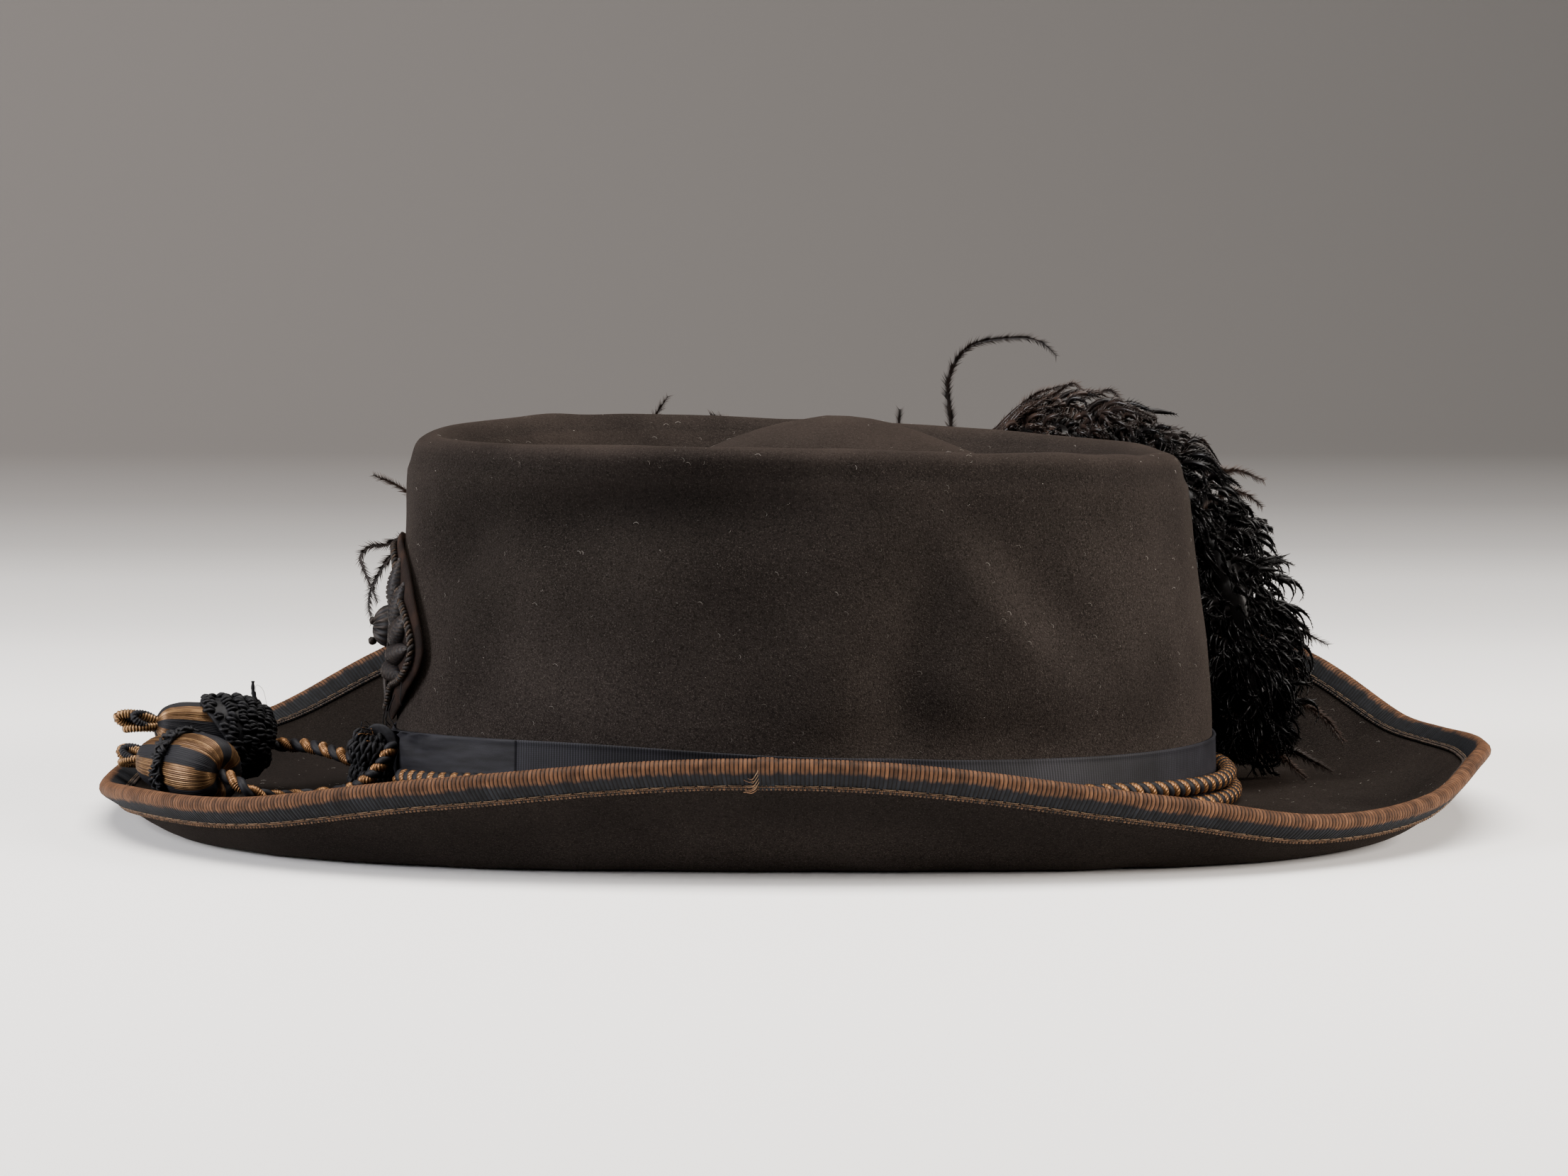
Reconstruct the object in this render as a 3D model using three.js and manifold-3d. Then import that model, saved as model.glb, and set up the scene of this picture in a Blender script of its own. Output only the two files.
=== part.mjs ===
// Slouch hat: a soft felt body with a telescoped crown and a rolled brim, bound at the edge with ribbed
// ribbon, banded with ribbon, and dressed with a doubled hat cord, two acorns, a front badge and a plume.
// Millimetres, +Z up. -X is the front of the hat, +X its back, +Y the plume side, -Y the plain side.
// Angles run round the hat: 0 is the back, 90 the plume side, 180 the front, 270 the other side.
import * as THREE from "three";
import { mergeVertices } from "three/addons/utils/BufferGeometryUtils.js";
import Module from "manifold-3d";

const wasm = await Module();
wasm.setup();

// Driving dimensions
const HAT_LENGTH = 341; // over the bound edge, front to back
const HAT_WIDTH = 274; // over the bound edge, side to side
const EDGE_SQUARENESS = 2.3; // 2 is a plain oval seen from above; the rolled sides square it a little
const CROWN_AXIS = { x: 2.4, y: 4 }; // the crown stands a little towards the back and the plume side
const HEAD_LENGTH = 200; // inside of the crown at the head opening
const HEAD_WIDTH = 162;
const FELT = 2.2; // thickness of the felt
const PRESSED_FELT = 1.6; // and where its weight flattens it on the table
const BREAK_RADIUS = 2.5; // fold between brim and crown
const BAND_THICKNESS = 0.7;
const BINDING_LEG = 5.9; // how far the binding reaches in from the edge, above and below
const BINDING_THICKNESS = 0.8;
const GAP = 0.3; // between pieces that touch on the real hat
const CORD_DIAMETER = 4.4;
const ANGLE_STEPS = 52; // facets round the felt, the binding and the band
const FUSED_TOLERANCE = 0.1; // facets smaller than this are merged where solids are joined

// Sections of the brim: lift of the edge, height of the belly, share of the brim where the roll starts, and
// how sharply it rolls. A belly of 0 rests on the table, and a lower one is pressed flat on it.
const BRIM_SECTIONS = [
  { angle: 0, lift: 17, belly: 2, turn: 0.55, curl: 2.2 },
  { angle: 15, lift: 15, belly: 2, turn: 0.5, curl: 2.2 },
  { angle: 25, lift: 16.5, belly: 1.5, turn: 0.45, curl: 2 },
  { angle: 40, lift: 29, belly: 0.5, turn: 0.38, curl: 1.7 },
  { angle: 60, lift: 41, belly: -0.7, turn: 0.52, curl: 1.25 },
  { angle: 90, lift: 47, belly: -0.7, turn: 0.52, curl: 1.1 },
  { angle: 118, lift: 37, belly: -0.7, turn: 0.52, curl: 1.25 },
  { angle: 128, lift: 27, belly: 0, turn: 0.38, curl: 1.7 },
  { angle: 142, lift: 14.5, belly: 0.5, turn: 0.42, curl: 2 },
  { angle: 160, lift: 11, belly: 1, turn: 0.5, curl: 2.3 },
  { angle: 180, lift: 8.5, belly: 0.6, turn: 0.68, curl: 1.9 },
  { angle: 202, lift: 12, belly: -0.3, turn: 0.79, curl: 1.6 },
  { angle: 223, lift: 14.3, belly: -0.4, turn: 0.74, curl: 1.8 },
  { angle: 244, lift: 22, belly: -0.7, turn: 0.6, curl: 1.7 },
  { angle: 270, lift: 28, belly: -0.7, turn: 0.51, curl: 1.35 },
  { angle: 297, lift: 18, belly: -0.7, turn: 0.62, curl: 1.8 },
  { angle: 313, lift: 11.3, belly: -0.4, turn: 0.74, curl: 1.8 },
  { angle: 331, lift: 12.3, belly: 0, turn: 0.74, curl: 1.8 },
  { angle: 345, lift: 18.5, belly: 1, turn: 0.64, curl: 2 },
];
const BELLY_AT = 0.45; // share of the brim's width where it has come down from the break to its belly
const BRIM_ROWS = [0.86, 0.72, 0.58, 0.47, 0.22]; // shares of the way from the break to the binding

// The break round the hat: height of the brim's top at the crown, and of the band's top above that
const BREAK_SECTIONS = [
  { angle: 0, height: 2.6, band: 16.6 },
  { angle: 30, height: 3.2, band: 16.4 },
  { angle: 60, height: 4.5, band: 16.2 },
  { angle: 90, height: 6.3, band: 16.2 },
  { angle: 120, height: 6.5, band: 16.2 },
  { angle: 150, height: 5.2, band: 16.6 },
  { angle: 180, height: 3.4, band: 17.4 },
  { angle: 210, height: 5.4, band: 17.8 },
  { angle: 240, height: 8.2, band: 16.4 },
  { angle: 270, height: 7.6, band: 15.1 },
  { angle: 300, height: 5.7, band: 15 },
  { angle: 330, height: 3.5, band: 16.2 },
];

// The crown round the hat: height of its rim, how far its wall leans in, and how far the wall swells low down
const CROWN_SECTIONS = [
  { angle: 0, rim: 89, lean: 7.4, swell: 1.6 },
  { angle: 45, rim: 90, lean: 6.4, swell: 1.4 },
  { angle: 90, rim: 92.5, lean: 5, swell: 1 },
  { angle: 135, rim: 95, lean: 4.4, swell: 0.7 },
  { angle: 180, rim: 93.5, lean: 4.2, swell: 0.4 },
  { angle: 225, rim: 94.5, lean: 4.4, swell: 0.7 },
  { angle: 270, rim: 95, lean: 5, swell: 1 },
  { angle: 315, rim: 92, lean: 6.4, swell: 1.4 },
];
const SWELL = { at: 0.36, spread: 0.24 }; // where the wall swells and how widely, as shares of its height
const WALL_ROWS = [0.34, 0.5, 0.65, 0.79]; // shares of the crown's height, above the band

// The crown from its wall over the rim and down inside it: inset from the wall and drop below the rim
const TIP_SECTIONS = [
  { inset: 0.2, drop: 6.5 },
  { inset: 1.4, drop: 2.2 },
  { inset: 3.8, drop: 0.3 },
  { inset: 7.5, drop: 0.2 },
  { inset: 12.5, drop: 3.4 },
  { inset: 18.5, drop: 9 },
  { inset: 27, drop: 13.5 },
  { inset: 39, drop: 15 },
];
const TIP_RINGS = [0.66, 0.33]; // shares of the last section's ring, inside it
const TIP_BUMP = { x: 10, y: 2, length: 45, width: 27, rise: 20.5 }; // soft peak inside the telescoped tip

// Dents pushed into the crown's wall (a ridge has a negative depth): place, half spans along and up, tilt
const DENTS = [
  { angle: 213, height: 69, along: 17, up: 10, depth: 4, tilt: 28 },
  { angle: 236, height: 78, along: 26, up: 9, depth: 5.2, tilt: 12 },
  { angle: 261, height: 82, along: 24, up: 8.5, depth: 4.4, tilt: 3 },
  { angle: 285, height: 46, along: 27, up: 9, depth: 4.6, tilt: 77 },
  { angle: 298, height: 55, along: 20, up: 6, depth: -1.8, tilt: -50 },
  { angle: 306, height: 61, along: 20, up: 9, depth: 3.4, tilt: -50 },
  { angle: 298, height: 25, along: 30, up: 8, depth: 2.6, tilt: 0 },
  { angle: 312, height: 76, along: 14, up: 9, depth: 2.2, tilt: 0 },
  { angle: 219, height: 36, along: 8, up: 14, depth: 1.6, tilt: -25 },
  { angle: 62, height: 60, along: 22, up: 14, depth: 2.4, tilt: 15 },
  { angle: 112, height: 78, along: 26, up: 8, depth: 3, tilt: -6 },
];

// The badge on the front of the crown: an oval patch, the cord sewn round it, and two sprays of padded leaves
const BADGE = { angle: 180, height: 45.6, halfWidth: 31, halfHeight: 23.4, thickness: 1.4, gap: 0.5 };
const BADGE_SPOKES = 18;
const BADGE_EAR = { reach: 7, from: 8, up: -5, spread: 11 }; // the patch's end on the plain side bulges out
const BADGE_CORD = { inset: 3.2, radius: 1 };
const BADGE_SPRAY = { leaves: 3, across: 15, up: 11, firstTurn: -60, turnStep: 42, lean: 32 };
const BADGE_LEAF = { length: 14, radius: 2, stalk: 0.3, stand: 1 };
const BADGE_BOSS = { radius: 5.5, rise: 3.6 };

// The two turns of the hat cord round the foot of the crown: distance out from the wall, rise above the break
const CORD_TURNS = {
  hat_cord_lower: { out: 5, rise: 2.6 },
  hat_cord_upper: { out: 3.6, rise: 7 },
};
const CORD_TURN_MESH = { steps: 36, sides: 6 };

// The slide that gathers the hat cord at the front
const SLIDE = { x: -104.2, y: -14, z: 13.2, halfHeight: 7, radius: 5.2, waist: 4.5, shoulder: 3.4 };
const SLIDE_CLEARANCE = { plainSide: 9, plumeSide: 4.2 }; // degrees from the slide to the turns' ends

// Routes of the two loose cord ends over the brim, from the slide to their acorns
const CORD_END_DIAMETER = 3.6;
const CORD_ENDS = {
  cord_end_far: [
    [-108.9, -11.4, 13.6],
    [-114.6, -3.6, 14.7],
    [-121.6, 6, 15.1],
    [-128.9, 13.2, 14.6],
    [-133, 14, 15.3],
  ],
  cord_end_near: [
    [-98.5, -20.2, 18.6],
    [-100, -21.4, 16],
    [-101.8, -22.2, 13.2],
    [-104.8, -22.4, 10.2],
    [-108, -21.4, 8],
    [-112, -18.4, 6.6],
    [-116.5, -16.6, 5.8],
    [-121.5, -18, 5.6],
    [-127.4, -28, 6.6],
    [-132.6, -33.5, 8.6],
    [-136.7, -31.4, 11.2],
    [-139.7, -27.7, 12.1],
  ],
};
const CORD_END_MESH = { step: 5.2, sides: 8 };

// Acorns: where the cord enters and where the acorn points, and the stretch that its net covers; a skewed net
// reaches further along on top than below
const ACORNS = {
  far: {
    entry: [-133, 14, 15.3],
    point: [-161.4, 6, 20.8],
    net: { rows: [0.1, 1.4, 5, 6.8, 8.4, 10], gap: 0.6, swell: 1, skew: { top: 8.5, under: 4.5 } },
  },
  near: {
    entry: [-139.4, -28, 12.1],
    point: [-159.8, -10.5, 13.8],
    net: { rows: [13.6, 14, 17], gap: GAP, swell: 1.5, skew: { top: 0, under: 0 } },
  },
};
// Profile of an acorn along its axis, from the dimple where the cord enters to the sewn point
const ACORN_PROFILE = [
  { along: 1.8, radius: 0 },
  { along: 0.8, radius: 2.4 },
  { along: 0, radius: 4.6 },
  { along: 1.4, radius: 7.2 },
  { along: 5, radius: 8.6 },
  { along: 10, radius: 8.9 },
  { along: 14, radius: 8.1 },
  { along: 18, radius: 7.2 },
  { along: 23, radius: 6.4 },
  { along: 27, radius: 4.4 },
  { along: 29, radius: 0 },
];
const ACORN_SIDES = 12;
const ACORN_LOOPS = { count: 3, root: 26.5, reach: 10, halfWidth: 2.2, wire: 1.1, tilt: 16 };

// The plume: its shaft round the crown, and the locks that stand from it
const PLUME_SHAFT = [
  { angle: 150, stand: 2.1, height: 33, radius: 1.6 },
  { angle: 134, stand: 6, height: 52, radius: 3.6 },
  { angle: 112, stand: 8.5, height: 66, radius: 5.4 },
  { angle: 88, stand: 10, height: 76, radius: 6.4 },
  { angle: 66, stand: 12, height: 83, radius: 7.4 },
  { angle: 48, stand: 14.5, height: 86, radius: 8.6 },
  { angle: 34, stand: 17, height: 78, radius: 9.4 },
  { angle: 25, stand: 17.5, height: 62, radius: 9.6 },
  { angle: 19, stand: 17, height: 45, radius: 9.4 },
  { angle: 15, stand: 16, height: 29, radius: 8.4 },
  { angle: 12, stand: 15.5, height: 14, radius: 5.4 },
];
const PLUME_SHAFT_STEPS = 14;
const PLUME_LOCKS = { count: 23, first: 0.12, root: 0.74, tip: 0.8, sweep: 0.35, droop: 0.3, lowest: 7 };
const PLUME_LOCK_MESH = { sides: 4, steps: 3 };
const PLUME_LOCK_LENGTH = { front: 26, back: 21 };
const PLUME_LOCK_PITCH = { front: [84, -46, 10], back: [22, -42, -12] }; // degrees up, taken in turn

// Angles, tables and small vectors

const radians = THREE.MathUtils.degToRad;
const vector = (x, y, z) => new THREE.Vector3(x, y, z);

/** A periodic cubic through one column of a table that is laid out by angle, from 0 up. */
function aroundHat(rows, column) {
  const at = (i) => {
    const turns = Math.floor(i / rows.length);
    const row = rows[i - turns * rows.length];
    return { angle: row.angle + 360 * turns, value: row[column] };
  };
  return (degrees) => {
    const angle = THREE.MathUtils.euclideanModulo(degrees, 360);
    const k = rows.findLastIndex((row) => row.angle <= angle);
    const [before, low, high, after] = [k - 1, k, k + 1, k + 2].map(at);
    const span = high.angle - low.angle;
    const lowSlope = ((high.value - before.value) / (high.angle - before.angle)) * span;
    const highSlope = ((after.value - low.value) / (after.angle - low.angle)) * span;
    const s = (angle - low.angle) / span;
    return (
      low.value * (2 * s ** 3 - 3 * s ** 2 + 1) +
      lowSlope * (s ** 3 - 2 * s ** 2 + s) +
      high.value * (3 * s ** 2 - 2 * s ** 3) +
      highSlope * (s ** 3 - s ** 2)
    );
  };
}

const brimLift = aroundHat(BRIM_SECTIONS, "lift");
const brimBelly = aroundHat(BRIM_SECTIONS, "belly");
const brimTurn = aroundHat(BRIM_SECTIONS, "turn");
const brimCurl = aroundHat(BRIM_SECTIONS, "curl");
const breakHeight = aroundHat(BREAK_SECTIONS, "height");
const bandRise = aroundHat(BREAK_SECTIONS, "band");
const rimHeight = aroundHat(CROWN_SECTIONS, "rim");
const crownLean = aroundHat(CROWN_SECTIONS, "lean");
const crownSwell = aroundHat(CROWN_SECTIONS, "swell");

// The felt body's outer surface

const BASE = { length: HEAD_LENGTH / 2 + FELT, width: HEAD_WIDTH / 2 + FELT };
const EDGE_MARGIN = BINDING_THICKNESS + GAP;
const EDGE = { length: HAT_LENGTH / 2 - EDGE_MARGIN, width: HAT_WIDTH / 2 - EDGE_MARGIN };

/** Point of the crown's oval, pushed out along its normal. */
function crownOval(angle, shrink, out) {
  const t = radians(angle);
  const a = BASE.length - shrink;
  const b = BASE.width - shrink;
  const normal = new THREE.Vector2(Math.cos(t) / a, Math.sin(t) / b).normalize();
  return new THREE.Vector2(
    CROWN_AXIS.x + a * Math.cos(t) + normal.x * out,
    CROWN_AXIS.y + b * Math.sin(t) + normal.y * out,
  );
}

/** How far the dents push the crown's wall in. */
function dentDepth(angle, height) {
  const round = radians(1) * ((BASE.length + BASE.width) / 2);
  return DENTS.reduce((sum, dent) => {
    const turn = THREE.MathUtils.euclideanModulo(angle - dent.angle + 180, 360) - 180;
    const c = Math.cos(radians(dent.tilt));
    const s = Math.sin(radians(dent.tilt));
    const along = turn * round * c + (height - dent.height) * s;
    const up = (height - dent.height) * c - turn * round * s;
    return sum + dent.depth * Math.exp(-((along / dent.along) ** 2) - (up / dent.up) ** 2);
  }, 0);
}

/** Point of the crown's wall at a height, stood off by a distance. */
function wallPoint(angle, height, off = 0) {
  const foot = breakHeight(angle);
  const share = (height - foot) / (rimHeight(angle) - foot);
  const swell = crownSwell(angle) * Math.exp(-(((share - SWELL.at) / SWELL.spread) ** 2));
  const p = crownOval(angle, crownLean(angle) * share, off + swell - dentDepth(angle, height));
  return vector(p.x, p.y, height);
}

/** A cosine or sine bent from an oval towards a squarer plan. */
const squared = (value) => Math.sign(value) * Math.abs(value) ** (2 / EDGE_SQUARENESS);

/** Point of the brim's top, from 0 at the break to 1 at the edge. */
function brimPoint(angle, share) {
  const t = radians(angle);
  const start = crownOval(angle, 0, BREAK_RADIUS);
  const edge = new THREE.Vector2(EDGE.length * squared(Math.cos(t)), EDGE.width * squared(Math.sin(t)));
  const p = start.lerp(edge, share);
  const belly = brimBelly(angle) + FELT;
  const sink = 1 - THREE.MathUtils.smoothstep(share, 0, BELLY_AT);
  const rise = Math.max(0, (share - brimTurn(angle)) / (1 - brimTurn(angle))) ** brimCurl(angle);
  const height = belly + (breakHeight(angle) - belly) * sink + (brimLift(angle) - belly) * rise;
  return vector(p.x, p.y, Math.max(height, PRESSED_FELT));
}

/** Share of the brim's width at a distance in from the edge. */
function brimShareFromEdge(angle, distance) {
  const width = brimPoint(angle, 0).setZ(0).distanceTo(brimPoint(angle, 1).setZ(0));
  const slope = (brimPoint(angle, 1).z - brimPoint(angle, 0.9).z) / (0.1 * width);
  return 1 - distance / (width * Math.hypot(1, slope));
}

/** Point of the crown's rim and of the tip that is pushed down inside it. */
function tipPoint(angle, section, ring = 1) {
  const p = crownOval(angle, crownLean(angle) + section.inset, 0);
  const deepest = TIP_SECTIONS.at(-1).drop;
  const share = section.drop / deepest;
  const middle = CROWN_SECTIONS.reduce((sum, row) => sum + row.rim, 0) / CROWN_SECTIONS.length;
  const inside = section.inset > TIP_SECTIONS[2].inset;
  const rim = inside ? THREE.MathUtils.lerp(rimHeight(angle), middle, share) : rimHeight(angle);
  const x = CROWN_AXIS.x + (p.x - CROWN_AXIS.x) * ring;
  const y = CROWN_AXIS.y + (p.y - CROWN_AXIS.y) * ring;
  const fromPeak = ((x - TIP_BUMP.x) / TIP_BUMP.length) ** 2 + ((y - TIP_BUMP.y) / TIP_BUMP.width) ** 2;
  const bump = inside ? share * TIP_BUMP.rise * Math.exp(-fromPeak) : 0;
  return vector(x, y, rim - section.drop + bump);
}

/** One radial section of the felt's outer surface, from the brim's edge to the last ring of the tip. */
function feltSection(angle) {
  const bound = brimShareFromEdge(angle, BINDING_LEG);
  const foldMiddle = BREAK_RADIUS * (1 - Math.SQRT1_2);
  const foot = breakHeight(angle);
  const foldPoint = (out, up) => {
    const p = crownOval(angle, 0, out);
    return vector(p.x, p.y, foot + up);
  };
  return [
    brimPoint(angle, 1),
    brimPoint(angle, bound),
    ...BRIM_ROWS.map((share) => brimPoint(angle, share * bound)),
    brimPoint(angle, 0),
    foldPoint(foldMiddle, foldMiddle),
    wallPoint(angle, foot + BREAK_RADIUS),
    wallPoint(angle, foot + bandRise(angle)),
    ...WALL_ROWS.map((share) => wallPoint(angle, foot + (rimHeight(angle) - foot) * share)),
    ...TIP_SECTIONS.map((section) => tipPoint(angle, section)),
    ...TIP_RINGS.map((ring) => tipPoint(angle, TIP_SECTIONS.at(-1), ring)),
  ];
}

const ANGLES = Array.from({ length: ANGLE_STEPS }, (_, i) => (i * 360) / ANGLE_STEPS);
const FELT_ROWS = ANGLES.map(feltSection);
const ROW_COUNT = FELT_ROWS[0].length;
const TIP_CENTRE = tipPoint(0, TIP_SECTIONS.at(-1), 0);

/** Outward normals of the felt's grid, from its neighbours. */
function gridNormal(i, j) {
  const next = FELT_ROWS[(i + 1) % ANGLE_STEPS][j];
  const last = FELT_ROWS[(i + ANGLE_STEPS - 1) % ANGLE_STEPS][j];
  const inner = FELT_ROWS[i][Math.min(j + 1, ROW_COUNT - 1)];
  const outer = FELT_ROWS[i][Math.max(j - 1, 0)];
  const round = next.clone().sub(last);
  return inner.clone().sub(outer).cross(round).negate().normalize();
}
const FELT_NORMALS = ANGLES.map((_, i) => FELT_ROWS[i].map((__, j) => gridNormal(i, j)));

/** Point of the felt's grid stood off the outer surface, or sunk into it, and kept on the table. */
function feltPoint(i, j, off) {
  const p = FELT_ROWS[i][j].clone().addScaledVector(FELT_NORMALS[i][j], off);
  return p.setZ(Math.max(p.z, 0));
}

// Solids from sections

/** Geometry from points and triangles. */
function geometryOf(points, triangles) {
  const geometry = new THREE.BufferGeometry();
  const positions = points.flatMap((p) => [p.x, p.y, p.z]);
  geometry.setAttribute("position", new THREE.Float32BufferAttribute(positions, 3));
  geometry.setIndex(triangles);
  return geometry;
}

/** Closed ring: each section is a closed loop of points, and the last section joins the first. */
function ringGeometry(sections) {
  const sides = sections[0].length;
  const triangles = [];
  sections.forEach((_, i) => {
    const here = i * sides;
    const there = ((i + 1) % sections.length) * sides;
    for (let k = 0; k < sides; k++) {
      const next = (k + 1) % sides;
      triangles.push(here + k, here + next, there + next, here + k, there + next, there + k);
    }
  });
  return geometryOf(sections.flat(), triangles);
}

/** Closed bar: like a ring, but with a cap on its first and last sections. */
function barGeometry(sections) {
  const sides = sections[0].length;
  const points = sections.flat();
  const triangles = [];
  for (let i = 0; i + 1 < sections.length; i++) {
    for (let k = 0; k < sides; k++) {
      const next = (k + 1) % sides;
      const [here, there] = [i * sides, (i + 1) * sides];
      triangles.push(here + k, here + next, there + next, here + k, there + next, there + k);
    }
  }
  const last = (sections.length - 1) * sides;
  for (let k = 1; k + 1 < sides; k++) {
    triangles.push(0, k + 1, k, last, last + k, last + k + 1);
  }
  return geometryOf(points, triangles);
}

/** Tapered bar of round sections along a smooth curve through the points. */
function lockGeometry(points, radiusAt, sides, steps, closed = false) {
  const curve = new THREE.CatmullRomCurve3(points, closed);
  const frames = curve.computeFrenetFrames(steps, closed);
  const sections = Array.from({ length: closed ? steps : steps + 1 }, (_, i) => {
    const centre = curve.getPointAt(i / steps);
    const radius = radiusAt(i / steps);
    return Array.from({ length: sides }, (__, k) => {
      const turn = (2 * Math.PI * k) / sides;
      return centre
        .clone()
        .addScaledVector(frames.normals[i], radius * Math.cos(turn))
        .addScaledVector(frames.binormals[i], radius * Math.sin(turn));
    });
  });
  return closed ? ringGeometry(sections) : barGeometry(sections);
}

/** Round tube along a smooth curve through the points. */
function cordGeometry(points, diameter, { steps, sides }) {
  const section = new THREE.Shape().absarc(0, 0, diameter / 2, 0, 2 * Math.PI);
  const extrudePath = new THREE.CatmullRomCurve3(points);
  return new THREE.ExtrudeGeometry(section, { extrudePath, steps, curveSegments: sides / 2 });
}

/** The manifold solid of a closed geometry. */
function solidOf(geometry) {
  const bare = new THREE.BufferGeometry();
  bare.setAttribute("position", geometry.getAttribute("position").clone());
  bare.setIndex(geometry.index);
  const merged = mergeVertices(bare, 1e-3);
  return new wasm.Manifold(
    new wasm.Mesh({
      numProp: 3,
      vertProperties: merged.attributes.position.array,
      triVerts: new Uint32Array(merged.index.array),
    }),
  );
}

/** One geometry from several closed ones that overlap. */
function fused(geometries) {
  const solids = geometries.map(solidOf);
  const mesh = solids
    .reduce((sum, solid) => sum.add(solid))
    .simplify(FUSED_TOLERANCE)
    .getMesh();
  const geometry = new THREE.BufferGeometry();
  geometry.setAttribute("position", new THREE.Float32BufferAttribute(mesh.vertProperties, mesh.numProp));
  geometry.setIndex(Array.from(mesh.triVerts));
  return geometry;
}

// The pieces

/** Crown and brim, blocked from one felt. */
function feltBodyGeometry() {
  const skins = [0, -FELT];
  const perSkin = ANGLE_STEPS * ROW_COUNT + 1;
  const points = skins.flatMap((off) => [
    ...ANGLES.flatMap((_, i) => FELT_ROWS[i].map((__, j) => feltPoint(i, j, off))),
    TIP_CENTRE.clone().setZ(TIP_CENTRE.z + off),
  ]);
  const triangles = [];
  const face = (skin, ...corners) => {
    const turned = skin ? corners.toReversed() : corners;
    turned.slice(2).forEach((_, k) => {
      triangles.push(...[turned[0], turned[k + 1], turned[k + 2]].map((corner) => corner + skin * perSkin));
    });
  };
  ANGLES.forEach((_, i) => {
    const here = i * ROW_COUNT;
    const there = ((i + 1) % ANGLE_STEPS) * ROW_COUNT;
    skins.forEach((__, skin) => {
      for (let j = 0; j + 1 < ROW_COUNT; j++) {
        face(skin, here + j, there + j, there + j + 1, here + j + 1);
      }
      face(skin, here + ROW_COUNT - 1, there + ROW_COUNT - 1, perSkin - 1);
    });
    triangles.push(here, perSkin + here, perSkin + there, here, perSkin + there, there);
  });
  return geometryOf(points, triangles);
}

/** Ribbed ribbon folded over the brim's edge. */
function brimBindingGeometry() {
  const near = GAP;
  const far = GAP + BINDING_THICKNESS;
  const sections = ANGLES.map((_, i) => {
    const outwards = feltPoint(i, 0, 0).sub(feltPoint(i, 1, 0)).normalize();
    const edge = (off, out) => feltPoint(i, 0, off).addScaledVector(outwards, out);
    const leg = (off) => feltPoint(i, 1, off);
    return [
      leg(far),
      edge(far, near),
      edge(-FELT / 2, far),
      edge(-FELT - far, near),
      leg(-FELT - far),
      leg(-FELT - near),
      edge(-FELT - near, near),
      edge(near, near),
      leg(near),
    ];
  });
  return ringGeometry(sections);
}

/** Row of the felt's grid at the foot of the crown's wall; the next one is the top of the band. */
const WALL_FOOT_ROW = BRIM_ROWS.length + 4;

/** Ribbon round the foot of the crown. */
function ribbonBandGeometry() {
  const foot = WALL_FOOT_ROW;
  const near = GAP;
  const far = GAP + BAND_THICKNESS;
  const sections = ANGLES.map((_, i) => [
    feltPoint(i, foot, far),
    feltPoint(i, foot, near),
    feltPoint(i, foot + 1, near),
    feltPoint(i, foot + 1, far),
  ]);
  return ringGeometry(sections);
}

/** Tube of one turn of the hat cord, from one side of the slide round to its other side. */
function cordTurnGeometry({ out, rise }) {
  const first = slideAngle() + SLIDE_CLEARANCE.plainSide;
  const sweep = 360 - SLIDE_CLEARANCE.plainSide - SLIDE_CLEARANCE.plumeSide;
  const { steps } = CORD_TURN_MESH;
  const points = Array.from({ length: steps + 1 }, (_, i) => {
    const angle = first + (sweep * i) / steps;
    const p = crownOval(angle, 0, out);
    return vector(p.x, p.y, breakHeight(angle) + rise);
  });
  return cordGeometry(points, CORD_DIAMETER, CORD_TURN_MESH);
}

/** Angle of the slide round the crown's oval. */
function slideAngle() {
  const x = (SLIDE.x - CROWN_AXIS.x) / BASE.length;
  const y = (SLIDE.y - CROWN_AXIS.y) / BASE.width;
  return THREE.MathUtils.radToDeg(Math.atan2(y, x));
}

/** Turned solid from a profile of { along, radius } rows, about +Y. */
function turnedGeometry(profile, sides) {
  return new THREE.LatheGeometry(
    profile.map((row) => new THREE.Vector2(row.radius, row.along)),
    sides,
  );
}

/** The slide: a woven barrel with a waist. */
function cordSlideGeometry() {
  const { halfHeight, radius, waist, shoulder } = SLIDE;
  const profile = [
    { along: -halfHeight, radius: 0 },
    { along: -halfHeight, radius: shoulder },
    { along: -halfHeight * 0.6, radius },
    { along: 0, radius: waist },
    { along: halfHeight * 0.6, radius },
    { along: halfHeight, radius: shoulder },
    { along: halfHeight, radius: 0 },
  ];
  return turnedGeometry(profile, 12).rotateX(Math.PI / 2);
}

/** Thread-wound body of an acorn, with the wire loops at its point. */
function acornBodyGeometry() {
  const body = turnedGeometry(ACORN_PROFILE, ACORN_SIDES);
  const { count, root, reach, halfWidth, wire, tilt } = ACORN_LOOPS;
  const loops = Array.from({ length: count }, (_, i) => {
    const lean = radians(tilt);
    const loop = [
      vector(-halfWidth * 0.4, root, 0),
      vector(-halfWidth, root + reach * 0.6, 0),
      vector(0, root + reach, 0),
      vector(halfWidth, root + reach * 0.6, 0),
      vector(halfWidth * 0.4, root, 0),
    ];
    const geometry = lockGeometry(loop, () => wire, 4, 6);
    geometry.translate(0, -root, 0).rotateX(lean).translate(0, root, 0);
    return geometry.rotateY((2 * Math.PI * i) / count);
  });
  return fused([body, ...loops]);
}

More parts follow.
